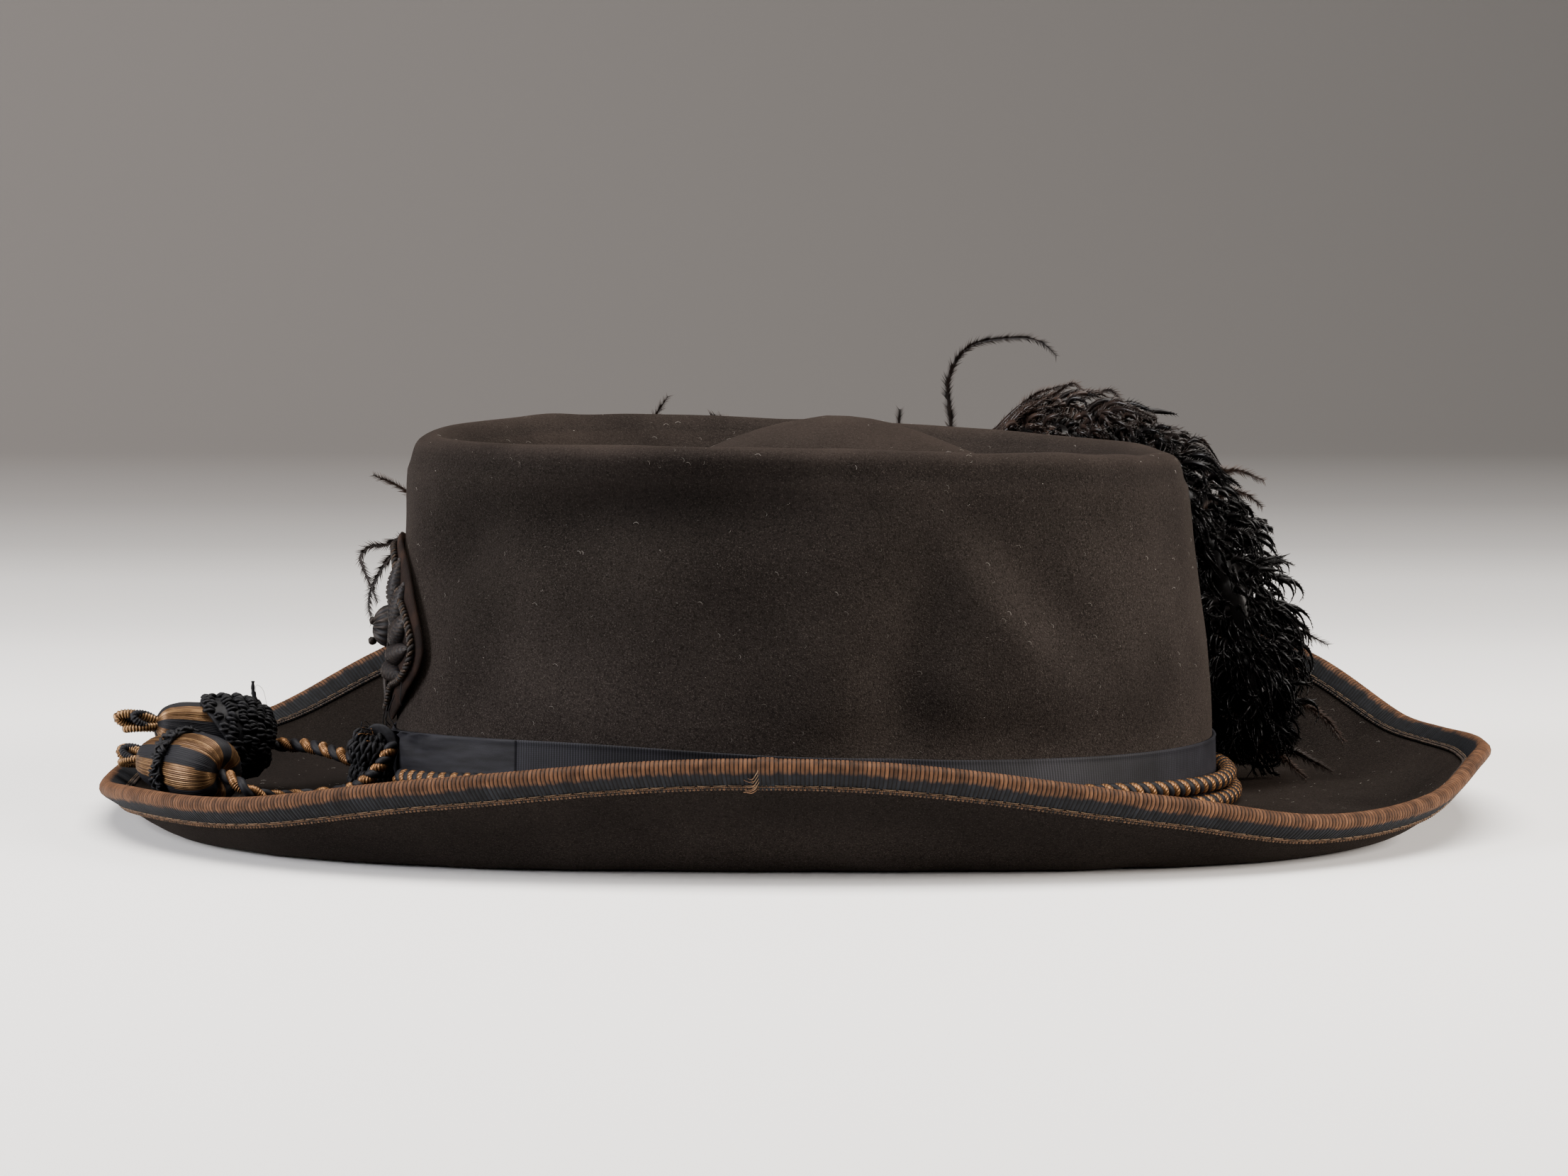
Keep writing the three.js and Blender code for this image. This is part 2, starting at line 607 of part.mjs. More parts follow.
/** Crocheted net round an acorn, over the stretch that it covers. */
function acornNetGeometry({ rows, gap, swell, skew }) {
  const radiusAt = (along) => {
    const k = ACORN_PROFILE.findIndex((row, i) => i > 2 && row.along >= along);
    const [low, high] = [ACORN_PROFILE[k - 1], ACORN_PROFILE[k]];
    const share = (along - low.along) / (high.along - low.along);
    return THREE.MathUtils.lerp(low.radius, high.radius, share);
  };
  const [from, to] = [rows[0], rows.at(-1)];
  const inner = rows.map((along) => ({ along, radius: radiusAt(along) + gap }));
  const outer = inner.map(({ along, radius }) => ({ along, radius: radius + swell }));
  const geometry = turnedGeometry([...outer, ...inner.reverse(), outer[0]], ACORN_SIDES);
  const places = geometry.getAttribute("position");
  for (let i = 0; i < places.count; i++) {
    const [x, along, z] = [places.getX(i), places.getY(i), places.getZ(i)];
    const radius = Math.hypot(x, z);
    const slant = z > 0 ? skew.top : skew.under;
    const skewed = along + slant * (z / radius) * ((along - from) / (to - from)) ** 2;
    const grown = 1 + (radiusAt(skewed) - radiusAt(along)) / radius;
    places.setXYZ(i, x * grown, skewed, z * grown);
  }
  return geometry;
}

/** Point over the badge: across and up from its middle, and distance off the felt. */
function badgePoint(across, up, off) {
  const height = BADGE.height + up;
  const ear = THREE.MathUtils.smoothstep(across, BADGE_EAR.from, BADGE.halfWidth);
  const bulge = BADGE_EAR.reach * ear * Math.exp(-(((up - BADGE_EAR.up) / BADGE_EAR.spread) ** 2));
  const angle = BADGE.angle + THREE.MathUtils.radToDeg((across + bulge) / BASE.width);
  return wallPoint(angle, height, off);
}

/** Oval patch on the front of the crown, with the cord round it and the leaves raised on it. */
function badgeGeometry() {
  const back = BADGE.gap;
  const front = BADGE.gap + BADGE.thickness;
  const patch = patchGeometry([
    { inset: BADGE.halfHeight * 0.78, off: back },
    { inset: BADGE.halfHeight * 0.4, off: back },
    { inset: 0, off: back },
    { inset: 0, off: front },
    { inset: BADGE_CORD.inset - BADGE_CORD.radius, off: front },
    { inset: BADGE_CORD.inset, off: front + BADGE_CORD.radius },
    { inset: BADGE_CORD.inset + BADGE_CORD.radius, off: front },
    { inset: BADGE.halfHeight * 0.6, off: front },
  ]);
  const leaves = [-1, 1].flatMap((side) =>
    Array.from({ length: BADGE_SPRAY.leaves }, (_, i) => badgeLeaf(side, i, front)),
  );
  const bossFoot = badgePoint(0, 0, back + BADGE.thickness / 2);
  const bossTop = badgePoint(0, 0, front + BADGE_BOSS.rise);
  const boss = lockGeometry([bossFoot, bossTop], (s) => BADGE_BOSS.radius * Math.sqrt(1 - 0.8 * s * s), 8, 2);
  return fused([patch, ...leaves, boss]);
}

/** Oval patch from rows that run from its back over its rim to its front, closed at its middle. */
function patchGeometry(rows) {
  const { halfWidth, halfHeight } = BADGE;
  const spokes = BADGE_SPOKES;
  const points = Array.from({ length: spokes }, (_, i) => (2 * Math.PI * i) / spokes).flatMap((turn) =>
    rows.map(({ inset, off }) =>
      badgePoint((halfWidth - inset) * Math.cos(turn), (halfHeight - inset) * Math.sin(turn), off),
    ),
  );
  const backMiddle = points.length;
  points.push(badgePoint(0, 0, rows[0].off), badgePoint(0, 0, rows.at(-1).off));
  const triangles = [];
  for (let i = 0; i < spokes; i++) {
    const here = i * rows.length;
    const there = ((i + 1) % spokes) * rows.length;
    const last = rows.length - 1;
    for (let k = 0; k < last; k++) {
      triangles.push(here + k, there + k + 1, here + k + 1, here + k, there + k, there + k + 1);
    }
    triangles.push(backMiddle, there, here, backMiddle + 1, here + last, there + last);
  }
  return geometryOf(points, triangles);
}

/** One padded leaf of a spray on the badge. */
function badgeLeaf(side, i, off) {
  const turn = radians(BADGE_SPRAY.firstTurn + BADGE_SPRAY.turnStep * i);
  const lean = turn + radians(90 - BADGE_SPRAY.lean);
  const points = [0, 0.5, 1].map((s) =>
    badgePoint(
      side * (BADGE_SPRAY.across * Math.cos(turn) + BADGE_LEAF.length * s * Math.cos(lean)),
      BADGE_SPRAY.up * Math.sin(turn) + BADGE_LEAF.length * s * Math.sin(lean),
      off + BADGE_LEAF.stand,
    ),
  );
  const radiusAt = (s) => BADGE_LEAF.stalk + BADGE_LEAF.radius * Math.sin(Math.PI * s);
  return lockGeometry(points, radiusAt, 4, 3);
}

/** The plume: a shaft round the crown with locks that stand up, hang down and droop outwards from it. */
function plumeGeometry() {
  const shaftPoint = ({ angle, stand, height }) => wallPoint(angle, height, stand);
  const shaft = new THREE.CatmullRomCurve3(PLUME_SHAFT.map(shaftPoint));
  const column = (name, s) => {
    const place = s * (PLUME_SHAFT.length - 1);
    const k = Math.min(Math.floor(place), PLUME_SHAFT.length - 2);
    return THREE.MathUtils.lerp(PLUME_SHAFT[k][name], PLUME_SHAFT[k + 1][name], place - k);
  };
  const core = lockGeometry(PLUME_SHAFT.map(shaftPoint), (s) => column("radius", s), 6, PLUME_SHAFT_STEPS);
  const { count, first, root, tip, sweep, droop, lowest } = PLUME_LOCKS;
  const { sides, steps } = PLUME_LOCK_MESH;
  const locks = Array.from({ length: count }, (_, i) => {
    const s = first + ((1 - first) * i) / (count - 1);
    const foot = shaft.getPoint(s);
    const axis = vector(CROWN_AXIS.x, CROWN_AXIS.y, foot.z);
    const outwards = foot.clone().sub(axis).normalize();
    const length = THREE.MathUtils.lerp(PLUME_LOCK_LENGTH.front, PLUME_LOCK_LENGTH.back, s);
    const pitch = radians(PLUME_LOCK_PITCH.front[i % 3] * (1 - s) + PLUME_LOCK_PITCH.back[i % 3] * s);
    const along = shaft.getTangent(s);
    const reach = (share) =>
      foot
        .clone()
        .addScaledVector(outwards, length * share * Math.cos(pitch))
        .addScaledVector(along, length * share * sweep)
        .add(vector(0, 0, length * (share * Math.sin(pitch) - droop * Math.cos(pitch) * share ** 4)));
    const points = [foot, reach(0.45), reach(0.8), reach(1)];
    points.forEach((p) => p.setZ(Math.max(p.z, lowest)));
    const rootRadius = root * column("radius", s);
    return lockGeometry(points, (u) => THREE.MathUtils.lerp(rootRadius, tip, u ** 1.8), sides, steps);
  });
  return fused([core, ...locks]);
}

// The hat

const FINISHES = {
  felt: { color: "#2e2724", roughness: 0.95, metalness: 0 },
  ribbon: { color: "#20222a", roughness: 0.7, metalness: 0 },
  binding: { color: "#5b3d28", roughness: 0.6, metalness: 0.2 },
  cord: { color: "#5a4426", roughness: 0.5, metalness: 0.3 },
  blackBraid: { color: "#141416", roughness: 0.75, metalness: 0 },
  velvet: { color: "#1d1614", roughness: 0.9, metalness: 0 },
  feather: { color: "#15110f", roughness: 0.6, metalness: 0 },
};

const hat = new THREE.Group();

/** Adds a named piece to the hat, with a material of its own. */
function addPiece(name, geometry, finish) {
  const piece = new THREE.Mesh(geometry, new THREE.MeshStandardMaterial(finish));
  piece.name = name;
  hat.add(piece);
  return piece;
}

addPiece("felt_body", feltBodyGeometry(), FINISHES.felt);
addPiece("brim_binding", brimBindingGeometry(), FINISHES.binding);
addPiece("ribbon_band", ribbonBandGeometry(), FINISHES.ribbon);
addPiece("front_badge", badgeGeometry(), FINISHES.velvet);
addPiece("plume", plumeGeometry(), FINISHES.feather);
for (const [name, turn] of Object.entries(CORD_TURNS)) {
  addPiece(name, cordTurnGeometry(turn), FINISHES.cord);
}
addPiece("cord_slide", cordSlideGeometry(), FINISHES.blackBraid).position.set(SLIDE.x, SLIDE.y, SLIDE.z);
for (const [name, route] of Object.entries(CORD_ENDS)) {
  const points = route.map((p) => vector(...p));
  const { step, sides } = CORD_END_MESH;
  const steps = Math.round(new THREE.CatmullRomCurve3(points).getLength() / step);
  addPiece(name, cordGeometry(points, CORD_END_DIAMETER, { steps, sides }), FINISHES.cord);
}
for (const [side, acorn] of Object.entries(ACORNS)) {
  const entry = vector(...acorn.entry);
  const pointing = vector(...acorn.point).sub(entry).normalize();
  const turn = new THREE.Quaternion().setFromUnitVectors(vector(0, 1, 0), pointing);
  const pieces = [
    addPiece(`acorn_${side}`, acornBodyGeometry(), FINISHES.cord),
    addPiece(`acorn_${side}_net`, acornNetGeometry(acorn.net), FINISHES.blackBraid),
  ];
  for (const piece of pieces) {
    piece.position.copy(entry);
    piece.quaternion.copy(turn);
  }
}

// The origin is on the table, under the middle of the hat
const middle = new THREE.Box3().setFromObject(hat, true).getCenter(new THREE.Vector3());
for (const piece of hat.children) {
  piece.position.sub(vector(middle.x, middle.y, 0));
}

export default hat;
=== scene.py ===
"""Looks of a slouch hat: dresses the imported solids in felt, ribbon, cord, thread and feather.

Tables and sizes are in millimetres, meshes in metres. -X is the front of the hat, +X its back and +Y its
plume side. Angles run round the hat in degrees: 0 is the back, 90 the plume side, 180 the front.
"""
from __future__ import annotations

import logging
import math
from dataclasses import dataclass, field
from enum import Enum
from typing import Sequence

import bpy
import numpy as np
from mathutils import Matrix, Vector

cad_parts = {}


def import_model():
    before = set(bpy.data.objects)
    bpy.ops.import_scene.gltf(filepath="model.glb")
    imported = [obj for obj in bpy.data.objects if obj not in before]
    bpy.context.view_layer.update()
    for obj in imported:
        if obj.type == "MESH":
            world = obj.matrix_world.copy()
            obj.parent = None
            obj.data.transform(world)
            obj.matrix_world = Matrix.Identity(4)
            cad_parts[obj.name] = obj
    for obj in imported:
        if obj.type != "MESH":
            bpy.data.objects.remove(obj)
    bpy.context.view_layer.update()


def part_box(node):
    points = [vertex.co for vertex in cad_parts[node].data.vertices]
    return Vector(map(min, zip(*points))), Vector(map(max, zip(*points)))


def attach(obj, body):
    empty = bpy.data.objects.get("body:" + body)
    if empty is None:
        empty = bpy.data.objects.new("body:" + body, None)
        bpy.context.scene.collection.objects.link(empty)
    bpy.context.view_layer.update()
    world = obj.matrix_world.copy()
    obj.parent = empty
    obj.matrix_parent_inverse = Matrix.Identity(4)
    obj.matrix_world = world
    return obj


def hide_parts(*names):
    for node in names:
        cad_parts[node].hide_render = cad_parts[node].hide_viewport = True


MM = 0.001
LOG = logging.getLogger("slouch_hat")
Table = Sequence[Sequence[float]]
# Low and high end of a value, and what they are turned to
Span = tuple[float, float, float, float]
# Slanted way that no tube starts along
TUBE_FACE = (0.31, 0.17, 0.93)
CURVE_STEPS = 40


class Slot(Enum):
    """Material slots of the record."""

    FELT = "felt"
    BINDING = "binding_ribbon"
    BAND = "band_ribbon"
    VELVET = "badge_velvet"
    FEATHER = "feather"
    CORD = "twisted_cord"
    THREAD = "wound_thread"
    BRAID = "black_braid"


def linear(hex_colour: str) -> tuple[float, float, float, float]:
    """Turns an sRGB hex colour to linear RGBA.

    Args:
        hex_colour: such as "#2e2724".

    Returns:
        Red, green, blue and an alpha of 1.
    """
    channels = [int(hex_colour[i : i + 2], 16) / 255 for i in (1, 3, 5)]
    bent = [c / 12.92 if c <= 0.04045 else ((c + 0.055) / 1.055) ** 2.4 for c in channels]
    return (bent[0], bent[1], bent[2], 1.0)


def per_metre(size_mm: float) -> float:
    """Texture scale at which a pattern repeats once in that many millimetres."""
    return 1000.0 / size_mm


def feed(tree: bpy.types.NodeTree, socket: bpy.types.NodeSocket, value: object) -> None:
    """Links a node or an output to an input, or sets the input's value, where "#" starts a colour."""
    source = value.outputs[0] if isinstance(value, bpy.types.Node) else value
    if isinstance(source, bpy.types.NodeSocket):
        tree.links.new(source, socket)
    elif isinstance(source, str) and source.startswith("#"):
        socket.default_value = linear(source)
    else:
        socket.default_value = source


def add_node(tree: bpy.types.NodeTree, kind: str, sockets: dict | tuple = (), **settings) -> bpy.types.Node:
    """Adds a node with its settings, values and links.

    Args:
        tree: the node tree.
        kind: the node's type name.
        sockets: values, or nodes and outputs to link from, by input name or in order.
        settings: properties of the node.

    Returns:
        The new node.
    """
    node = tree.nodes.new(kind)
    for name, value in settings.items():
        setattr(node, name, value)
    for key, value in sockets.items() if isinstance(sockets, dict) else enumerate(sockets):
        feed(tree, node.inputs[key], value)
    return node


def new_object(name: str, data: bpy.types.ID) -> bpy.types.Object:
    """Adds an object to the scene."""
    obj = bpy.data.objects.new(name, data)
    bpy.context.scene.collection.objects.link(obj)
    return obj


def smoothstep(value: np.ndarray, low: float, high: float) -> np.ndarray:
    """Smooth rise from 0 at low to 1 at high."""
    share = np.clip((np.asarray(value, float) - low) / (high - low), 0.0, 1.0)
    return share * share * (3.0 - 2.0 * share)


def unit(vectors: np.ndarray) -> np.ndarray:
    """Vectors at length 1."""
    return vectors / np.maximum(np.linalg.norm(vectors, axis=-1, keepdims=True), 1e-9)


def off_angle(degrees: np.ndarray, at: float) -> np.ndarray:
    """Angles from a place round the hat, from -180 to 180."""
    return np.mod(degrees - at + 180.0, 360.0) - 180.0


def lifted(flat: np.ndarray, height: np.ndarray) -> np.ndarray:
    """Points from their X and Y and their heights."""
    return np.concatenate([flat, height[..., None]], axis=-1)


def run_along(points: np.ndarray) -> np.ndarray:
    """Distance along a line at each of its points."""
    return np.concatenate([[0.0], np.cumsum(np.linalg.norm(np.diff(points, axis=0), axis=1))])


def hermite(
    low: np.ndarray, start: np.ndarray, high: np.ndarray, end: np.ndarray, s: np.ndarray
) -> np.ndarray:
    """Smooth curve from low to high that leaves and arrives at two slopes, at shares of its length."""
    return (
        low * (2 * s**3 - 3 * s**2 + 1)
        + start * (s**3 - 2 * s**2 + s)
        + high * (3 * s**2 - 2 * s**3)
        + end * (s**3 - s**2)
    )


def spline(knots: Table, places: np.ndarray) -> np.ndarray:
    """Smooth curve through rows of knots.

    Args:
        knots: one row for each knot.
        places: places along the curve, in knots from 0.

    Returns:
        One row for each place.
    """
    knots = np.asarray(knots, float)
    last = len(knots) - 1
    k = np.clip(np.floor(places).astype(int), 0, last - 1)
    s = (np.asarray(places, float) - k)[:, None]
    before, low = knots[np.maximum(k - 1, 0)], knots[k]
    high, after = knots[k + 1], knots[np.minimum(k + 2, last)]
    return hermite(low, (high - before) / 2, high, (after - low) / 2, s)


def even_curve(knots: Table, count: int) -> np.ndarray:
    """Smooth curve through knots, as points at even distances."""
    fine = spline(knots, np.linspace(0, len(knots) - 1, CURVE_STEPS * len(knots)))
    run = run_along(fine)
    wanted = np.linspace(0, run[-1], count)
    return np.stack([np.interp(wanted, run, fine[:, i]) for i in range(3)], axis=1)


def sheet_quads(rows: int, columns: int, round_rows: bool = False, round_columns: bool = False) -> np.ndarray:
    """Quads of a sheet of points that are numbered row by row.

    Args:
        rows: rows of points.
        columns: points in a row.
        round_rows: whether the last row joins the first.
        round_columns: whether the last column joins the first.

    Returns:
        One row of four point numbers for each quad.
    """
    i = np.arange(rows if round_rows else rows - 1)[:, None]
    j = np.arange(columns if round_columns else columns - 1)[None, :]
    near, far = (i % rows) * columns, ((i + 1) % rows) * columns
    here, there = j % columns, (j + 1) % columns
    corners = [near + here, far + here, far + there, near + there]
    return np.stack([np.broadcast_to(c, (i.size, j.size)) for c in corners], axis=-1).reshape(-1, 4)


def sheet_uv(along: np.ndarray, across: np.ndarray) -> np.ndarray:
    """Corner UVs of a sheet's quads, from the values at its rows and columns, ends included."""
    i, j = np.meshgrid(np.arange(len(along) - 1), np.arange(len(across) - 1), indexing="ij")
    corners = [(i, j), (i + 1, j), (i + 1, j + 1), (i, j + 1)]
    return np.stack([np.stack([along[a], across[b]], axis=-1) for a, b in corners], axis=2).reshape(-1, 4, 2)


def closed_rows(rows: np.ndarray) -> tuple[np.ndarray, np.ndarray, np.ndarray]:
    """Skin over rows of points that each close on themselves, with a fan over the first and the last row.

    Args:
        rows: rows, points in a row, and X, Y and Z.

    Returns:
        Points, with the two fans' middles last, quads and triangles.
    """
    count, sides = rows.shape[:2]
    points = np.concatenate([rows.reshape(-1, 3), rows[:1].mean(axis=1), rows[-1:].mean(axis=1)])
    k = np.arange(sides)
    after = (k + 1) % sides
    end = (count - 1) * sides
    first = np.stack([np.full(sides, count * sides), k, after], axis=1)
    last = np.stack([np.full(sides, count * sides + 1), end + after, end + k], axis=1)
    return points, sheet_quads(count, sides, round_columns=True), np.concatenate([first, last])


def tube(path: np.ndarray, radii: np.ndarray, sides: int) -> tuple[np.ndarray, np.ndarray, np.ndarray]:
    """Round bar along a path.

    Args:
        path: points that it follows.
        radii: radius at each point, or one for all.
        sides: points round it.

    Returns:
        Points, quads and the triangles of its two ends.
    """
    path = np.asarray(path, float)
    radii = np.broadcast_to(np.asarray(radii, float), len(path))
    tangents = unit(np.gradient(path, axis=0))
    normal = unit(np.cross(tangents[0], TUBE_FACE))
    turns = np.linspace(0, 2 * math.pi, sides, endpoint=False)
    rings = []
    for centre, tangent, radius in zip(path, tangents, radii):
        normal = unit(normal - tangent * np.dot(normal, tangent))
        other = np.cross(tangent, normal)
        rings.append(centre + radius * (np.cos(turns)[:, None] * normal + np.sin(turns)[:, None] * other))
    return closed_rows(np.stack(rings))


def signed_volume(points: np.ndarray, faces: Sequence[np.ndarray]) -> float:
    """Volume inside faces, below 0 where they are inside out."""
    total = 0.0
    for array in faces:
        for k in range(1, array.shape[1] - 1):
            a, b, c = (points[array[:, i]] for i in (0, k, k + 1))
            total += float(np.sum(a * np.cross(b, c)))
    return total / 6.0


@dataclass
class Patchwork:
    """Gathers the points, faces, UVs and point values of one piece until they are made a mesh."""

    points: list[np.ndarray] = field(default_factory=list)
    faces: list[np.ndarray] = field(default_factory=list)
    uvs: list[np.ndarray] = field(default_factory=list)
    values: list[dict] = field(default_factory=list)
    count: int = 0

    def add(
        self,
        points: np.ndarray,
        *faces: np.ndarray,
        uv: np.ndarray | None = None,
        closed: bool = True,
        **values,
    ) -> None:
        """Adds a part, and turns it right side out if it is closed.

        Args:
            points: its points, in millimetres.
            faces: arrays of quads or triangles.
            uv: corner UVs of the first array of faces.
            closed: whether the faces close on themselves.
            values: named values, one for each point or one for all.
        """
        if closed and signed_volume(points, faces) < 0:
            faces = tuple(array[:, ::-1] for array in faces)
            uv = None if uv is None else uv[:, ::-1]
        for i, array in enumerate(faces):
            self.faces.append(np.asarray(array) + self.count)
            self.uvs.append(uv if uv is not None and i == 0 else np.zeros((*np.shape(array), 2)))
        self.points.append(points)
        self.values.append({name: np.broadcast_to(v, len(points)) for name, v in values.items()})
        self.count += len(points)

    def piece(self, name: str, material: bpy.types.Material | None, shift: np.ndarray) -> bpy.types.Object:
        """Makes the mesh object.

        Args:
            name: the piece's name.
            material: its material.
            shift: from the tables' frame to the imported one, in millimetres.

        Returns:
            The object, in metres, at the origin.
        """
        mesh = bpy.data.meshes.new(name)
        points = (np.concatenate(self.points) + shift) * MM
        corners = np.concatenate([f.ravel() for f in self.faces]).astype(np.int32)
        sizes = np.concatenate([np.full(len(f), f.shape[1]) for f in self.faces])
        mesh.vertices.add(len(points))
        mesh.vertices.foreach_set("co", points.astype(np.float32).ravel())
        mesh.loops.add(len(corners))
        mesh.loops.foreach_set("vertex_index", corners)
        mesh.polygons.add(len(sizes))
        mesh.polygons.foreach_set("loop_start", np.concatenate([[0], np.cumsum(sizes)[:-1]]).astype(np.int32))
        mesh.update(calc_edges=True)
        mesh.validate()
        uv_layer = mesh.uv_layers.new(name="UVMap")
        uv_layer.uv.foreach_set("vector", np.concatenate([u.ravel() for u in self.uvs]).astype(np.float32))
        for key in sorted({key for row in self.values for key in row}):
            column = [row.get(key, np.zeros(len(p))) for row, p in zip(self.values, self.points)]
            attribute = mesh.attributes.new(key, "FLOAT", "POINT")
            attribute.data.foreach_set("value", np.concatenate(column).astype(np.float32))
        mesh.polygons.foreach_set("use_smooth", np.ones(len(sizes), bool))
        if material is not None:
            mesh.materials.append(material)
        return new_object(name, mesh)


def bare_mesh(
    name: str, points: np.ndarray, edges: Sequence, shift: np.ndarray, **values: np.ndarray
) -> bpy.types.Object:
    """Bare points and edges, for a rule to follow.

    Args:
        name: the object's name.
        points: in millimetres.
        edges: pairs of point numbers.
        shift: from the tables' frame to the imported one, in millimetres.
        values: named numbers or vectors, one for each point.

    Returns:
        The object, in metres.
    """
    mesh = bpy.data.meshes.new(name)
    mesh.from_pydata((points + shift) * MM, edges, [])
    for key, column in values.items():
        column = np.ascontiguousarray(column, np.float32)
        kind, part = ("FLOAT_VECTOR", "vector") if column.ndim > 1 else ("FLOAT", "value")
        mesh.attributes.new(key, kind, "POINT").data.foreach_set(part, column.ravel())
    return new_object(name, mesh)


def polylines(
    name: str, lines: Sequence[np.ndarray], shift: np.ndarray, **values: np.ndarray
) -> bpy.types.Object:
    """Lines of points in millimetres as bare edges, with named values for each line."""
    sizes = [len(line) for line in lines]
    starts = np.cumsum([0] + sizes)
    runs = [np.arange(first, after - 1) for first, after in zip(starts, starts[1:])]
    edges = np.concatenate([np.stack([run, run + 1], axis=1) for run in runs])
    repeated = {key: np.repeat(np.asarray(column, float), sizes) for key, column in values.items()}
    return bare_mesh(name, np.concatenate(lines), edges, shift, **repeated)


def place_piece(obj: bpy.types.Object, slot: Slot, *nodes: str) -> bpy.types.Object:
    """Rides a piece on the hat, hides the solids that it stands for, and reports it."""
    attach(obj, "root")
    if nodes:
        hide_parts(*nodes)
    triangles = sum(len(p.vertices) - 2 for p in obj.data.polygons)
    LOG.info("%s: %d triangles", obj.name, triangles)
    return obj


class NodeRule:
    """A Geometry Nodes tree with named inputs, run once on an object and turned to a plain mesh."""

    def __init__(self, name: str) -> None:
        """Starts a tree with a geometry input and output."""
        self.tree = bpy.data.node_groups.new(name, "GeometryNodeTree")
        self.identifiers: dict[str, str] = {}
        for way in ("INPUT", "OUTPUT"):
            self.tree.interface.new_socket("Geometry", in_out=way, socket_type="NodeSocketGeometry")
        self.entry = add_node(self.tree, "NodeGroupInput")

    def inputs(self, kind: str, *names: str) -> list[bpy.types.NodeSocket]:
        """Adds named inputs of a kind, such as Float, and returns their sockets inside the tree."""
        for name in names:
            socket = self.tree.interface.new_socket(name, in_out="INPUT", socket_type="NodeSocket" + kind)
            self.identifiers[name] = socket.identifier
        return [self.entry.outputs[name] for name in names]

    def add(self, kind: str, sockets: dict | tuple = (), **settings) -> bpy.types.Node:
        """Adds a node to the tree."""
        return add_node(self.tree, kind, sockets, **settings)

    def math(self, operation: str, *values: object) -> bpy.types.Node:
        """Adds an operation on numbers."""
        return self.add("ShaderNodeMath", values, operation=operation)

    def vectors(self, operation: str, *values: object) -> bpy.types.Node:
        """Adds an operation on vectors."""
        return self.add("ShaderNodeVectorMath", values, operation=operation)

    def scaled(self, vector: bpy.types.Node, scale: object) -> bpy.types.Node:
        """Adds a vector times a number."""
        return self.add("ShaderNodeVectorMath", {0: vector, "Scale": scale}, operation="SCALE")

    def value(self, name: str, kind: str = "FLOAT") -> bpy.types.Node:
        """Adds a value that the points carry."""
        return self.add("GeometryNodeInputNamedAttribute", {"Name": name}, data_type=kind)

    def random(self, low: float, high: float, seed: object) -> bpy.types.NodeSocket:
        """Adds a random number for each point."""
        sockets = {2: low, 3: high, "Seed": seed}
        return self.add("FunctionNodeRandomValue", sockets, data_type="FLOAT").outputs[1]

    def lines(self) -> bpy.types.Node:
        """Adds the object's edges as curves."""
        return self.add("GeometryNodeMeshToCurve", {"Mesh": self.entry.outputs[0]})

    def stepped(self, curve: bpy.types.Node, step: bpy.types.NodeSocket) -> bpy.types.Node:
        """Adds points at even steps along curves."""
        return self.add("GeometryNodeResampleCurve", {"Curve": curve, "Length": step}, mode="LENGTH")

    def circle(self, sides: int, radius: object) -> bpy.types.Node:
        """Adds a section with that many sides."""
        return self.add("GeometryNodeCurvePrimitiveCircle", {"Resolution": sides, "Radius": radius})

    def skin(self, curve: bpy.types.Node, section: bpy.types.Node, scale: object) -> bpy.types.Node:
        """Adds a closed skin along curves."""
        sockets = {"Curve": curve, "Profile Curve": section, "Scale": scale, "Fill Caps": True}
        return self.add("GeometryNodeCurveToMesh", sockets)

    def aimed(self, up: bpy.types.Node, ahead: bpy.types.Node) -> bpy.types.Node:
        """Adds the rotation that turns Z up and X ahead."""
        return self.add("FunctionNodeAxesToRotation", (up, ahead), primary_axis="Z", secondary_axis="X")

    def spun(self, rotation: object, axis: str, angle: object) -> bpy.types.Node:
        """Adds a turn about an axis of its own to a rotation."""
        euler = self.add("ShaderNodeCombineXYZ", {axis: angle})
        spin = self.add("FunctionNodeEulerToRotation", (euler,))
        sockets = {"Rotation": rotation, "Rotate By": spin}
        return self.add("FunctionNodeRotateRotation", sockets, rotation_space="LOCAL")

    def copies(self, points: object, shape: object, rotation: object, size: object) -> bpy.types.Node:
        """Adds a copy of a shape on each point."""
        sockets = {"Points": points, "Instance": shape, "Rotation": rotation, "Scale": size}
        return self.add("GeometryNodeInstanceOnPoints", sockets)

    def close(self, parts: Sequence[bpy.types.Node], finish: bpy.types.NodeSocket) -> None:
        """Ends the tree in plain, smooth geometry with its material."""
        joined = self.add("GeometryNodeJoinGeometry")
        for part in parts:
            feed(self.tree, joined.inputs[0], part)
        smooth = self.add("GeometryNodeSetShadeSmooth", {"Geometry": joined})
        plain = self.add("GeometryNodeRealizeInstances", {"Geometry": smooth})
        dressed = self.add("GeometryNodeSetMaterial", {"Geometry": plain, "Material": finish})
        self.add("NodeGroupOutput", (dressed,))

    def run(self, obj: bpy.types.Object, **inputs) -> bpy.types.Object:
        """Runs the tree on an object.

        Args:
            obj: the object whose mesh the tree starts from.
            inputs: values of the tree's inputs, with _ for a space.

        Returns:
            The same object, with the plain mesh that the tree gave.
        """
        modifier = obj.modifiers.new(self.tree.name, "NODES")
        modifier.node_group = self.tree
        for name, value in inputs.items():
            modifier[self.identifiers[name.replace("_", " ")]] = value
        graph = bpy.context.evaluated_depsgraph_get()
        mesh = bpy.data.meshes.new_from_object(obj.evaluated_get(graph))
        obj.modifiers.clear()
        obj.data = mesh
        mesh.name = obj.name
        return obj


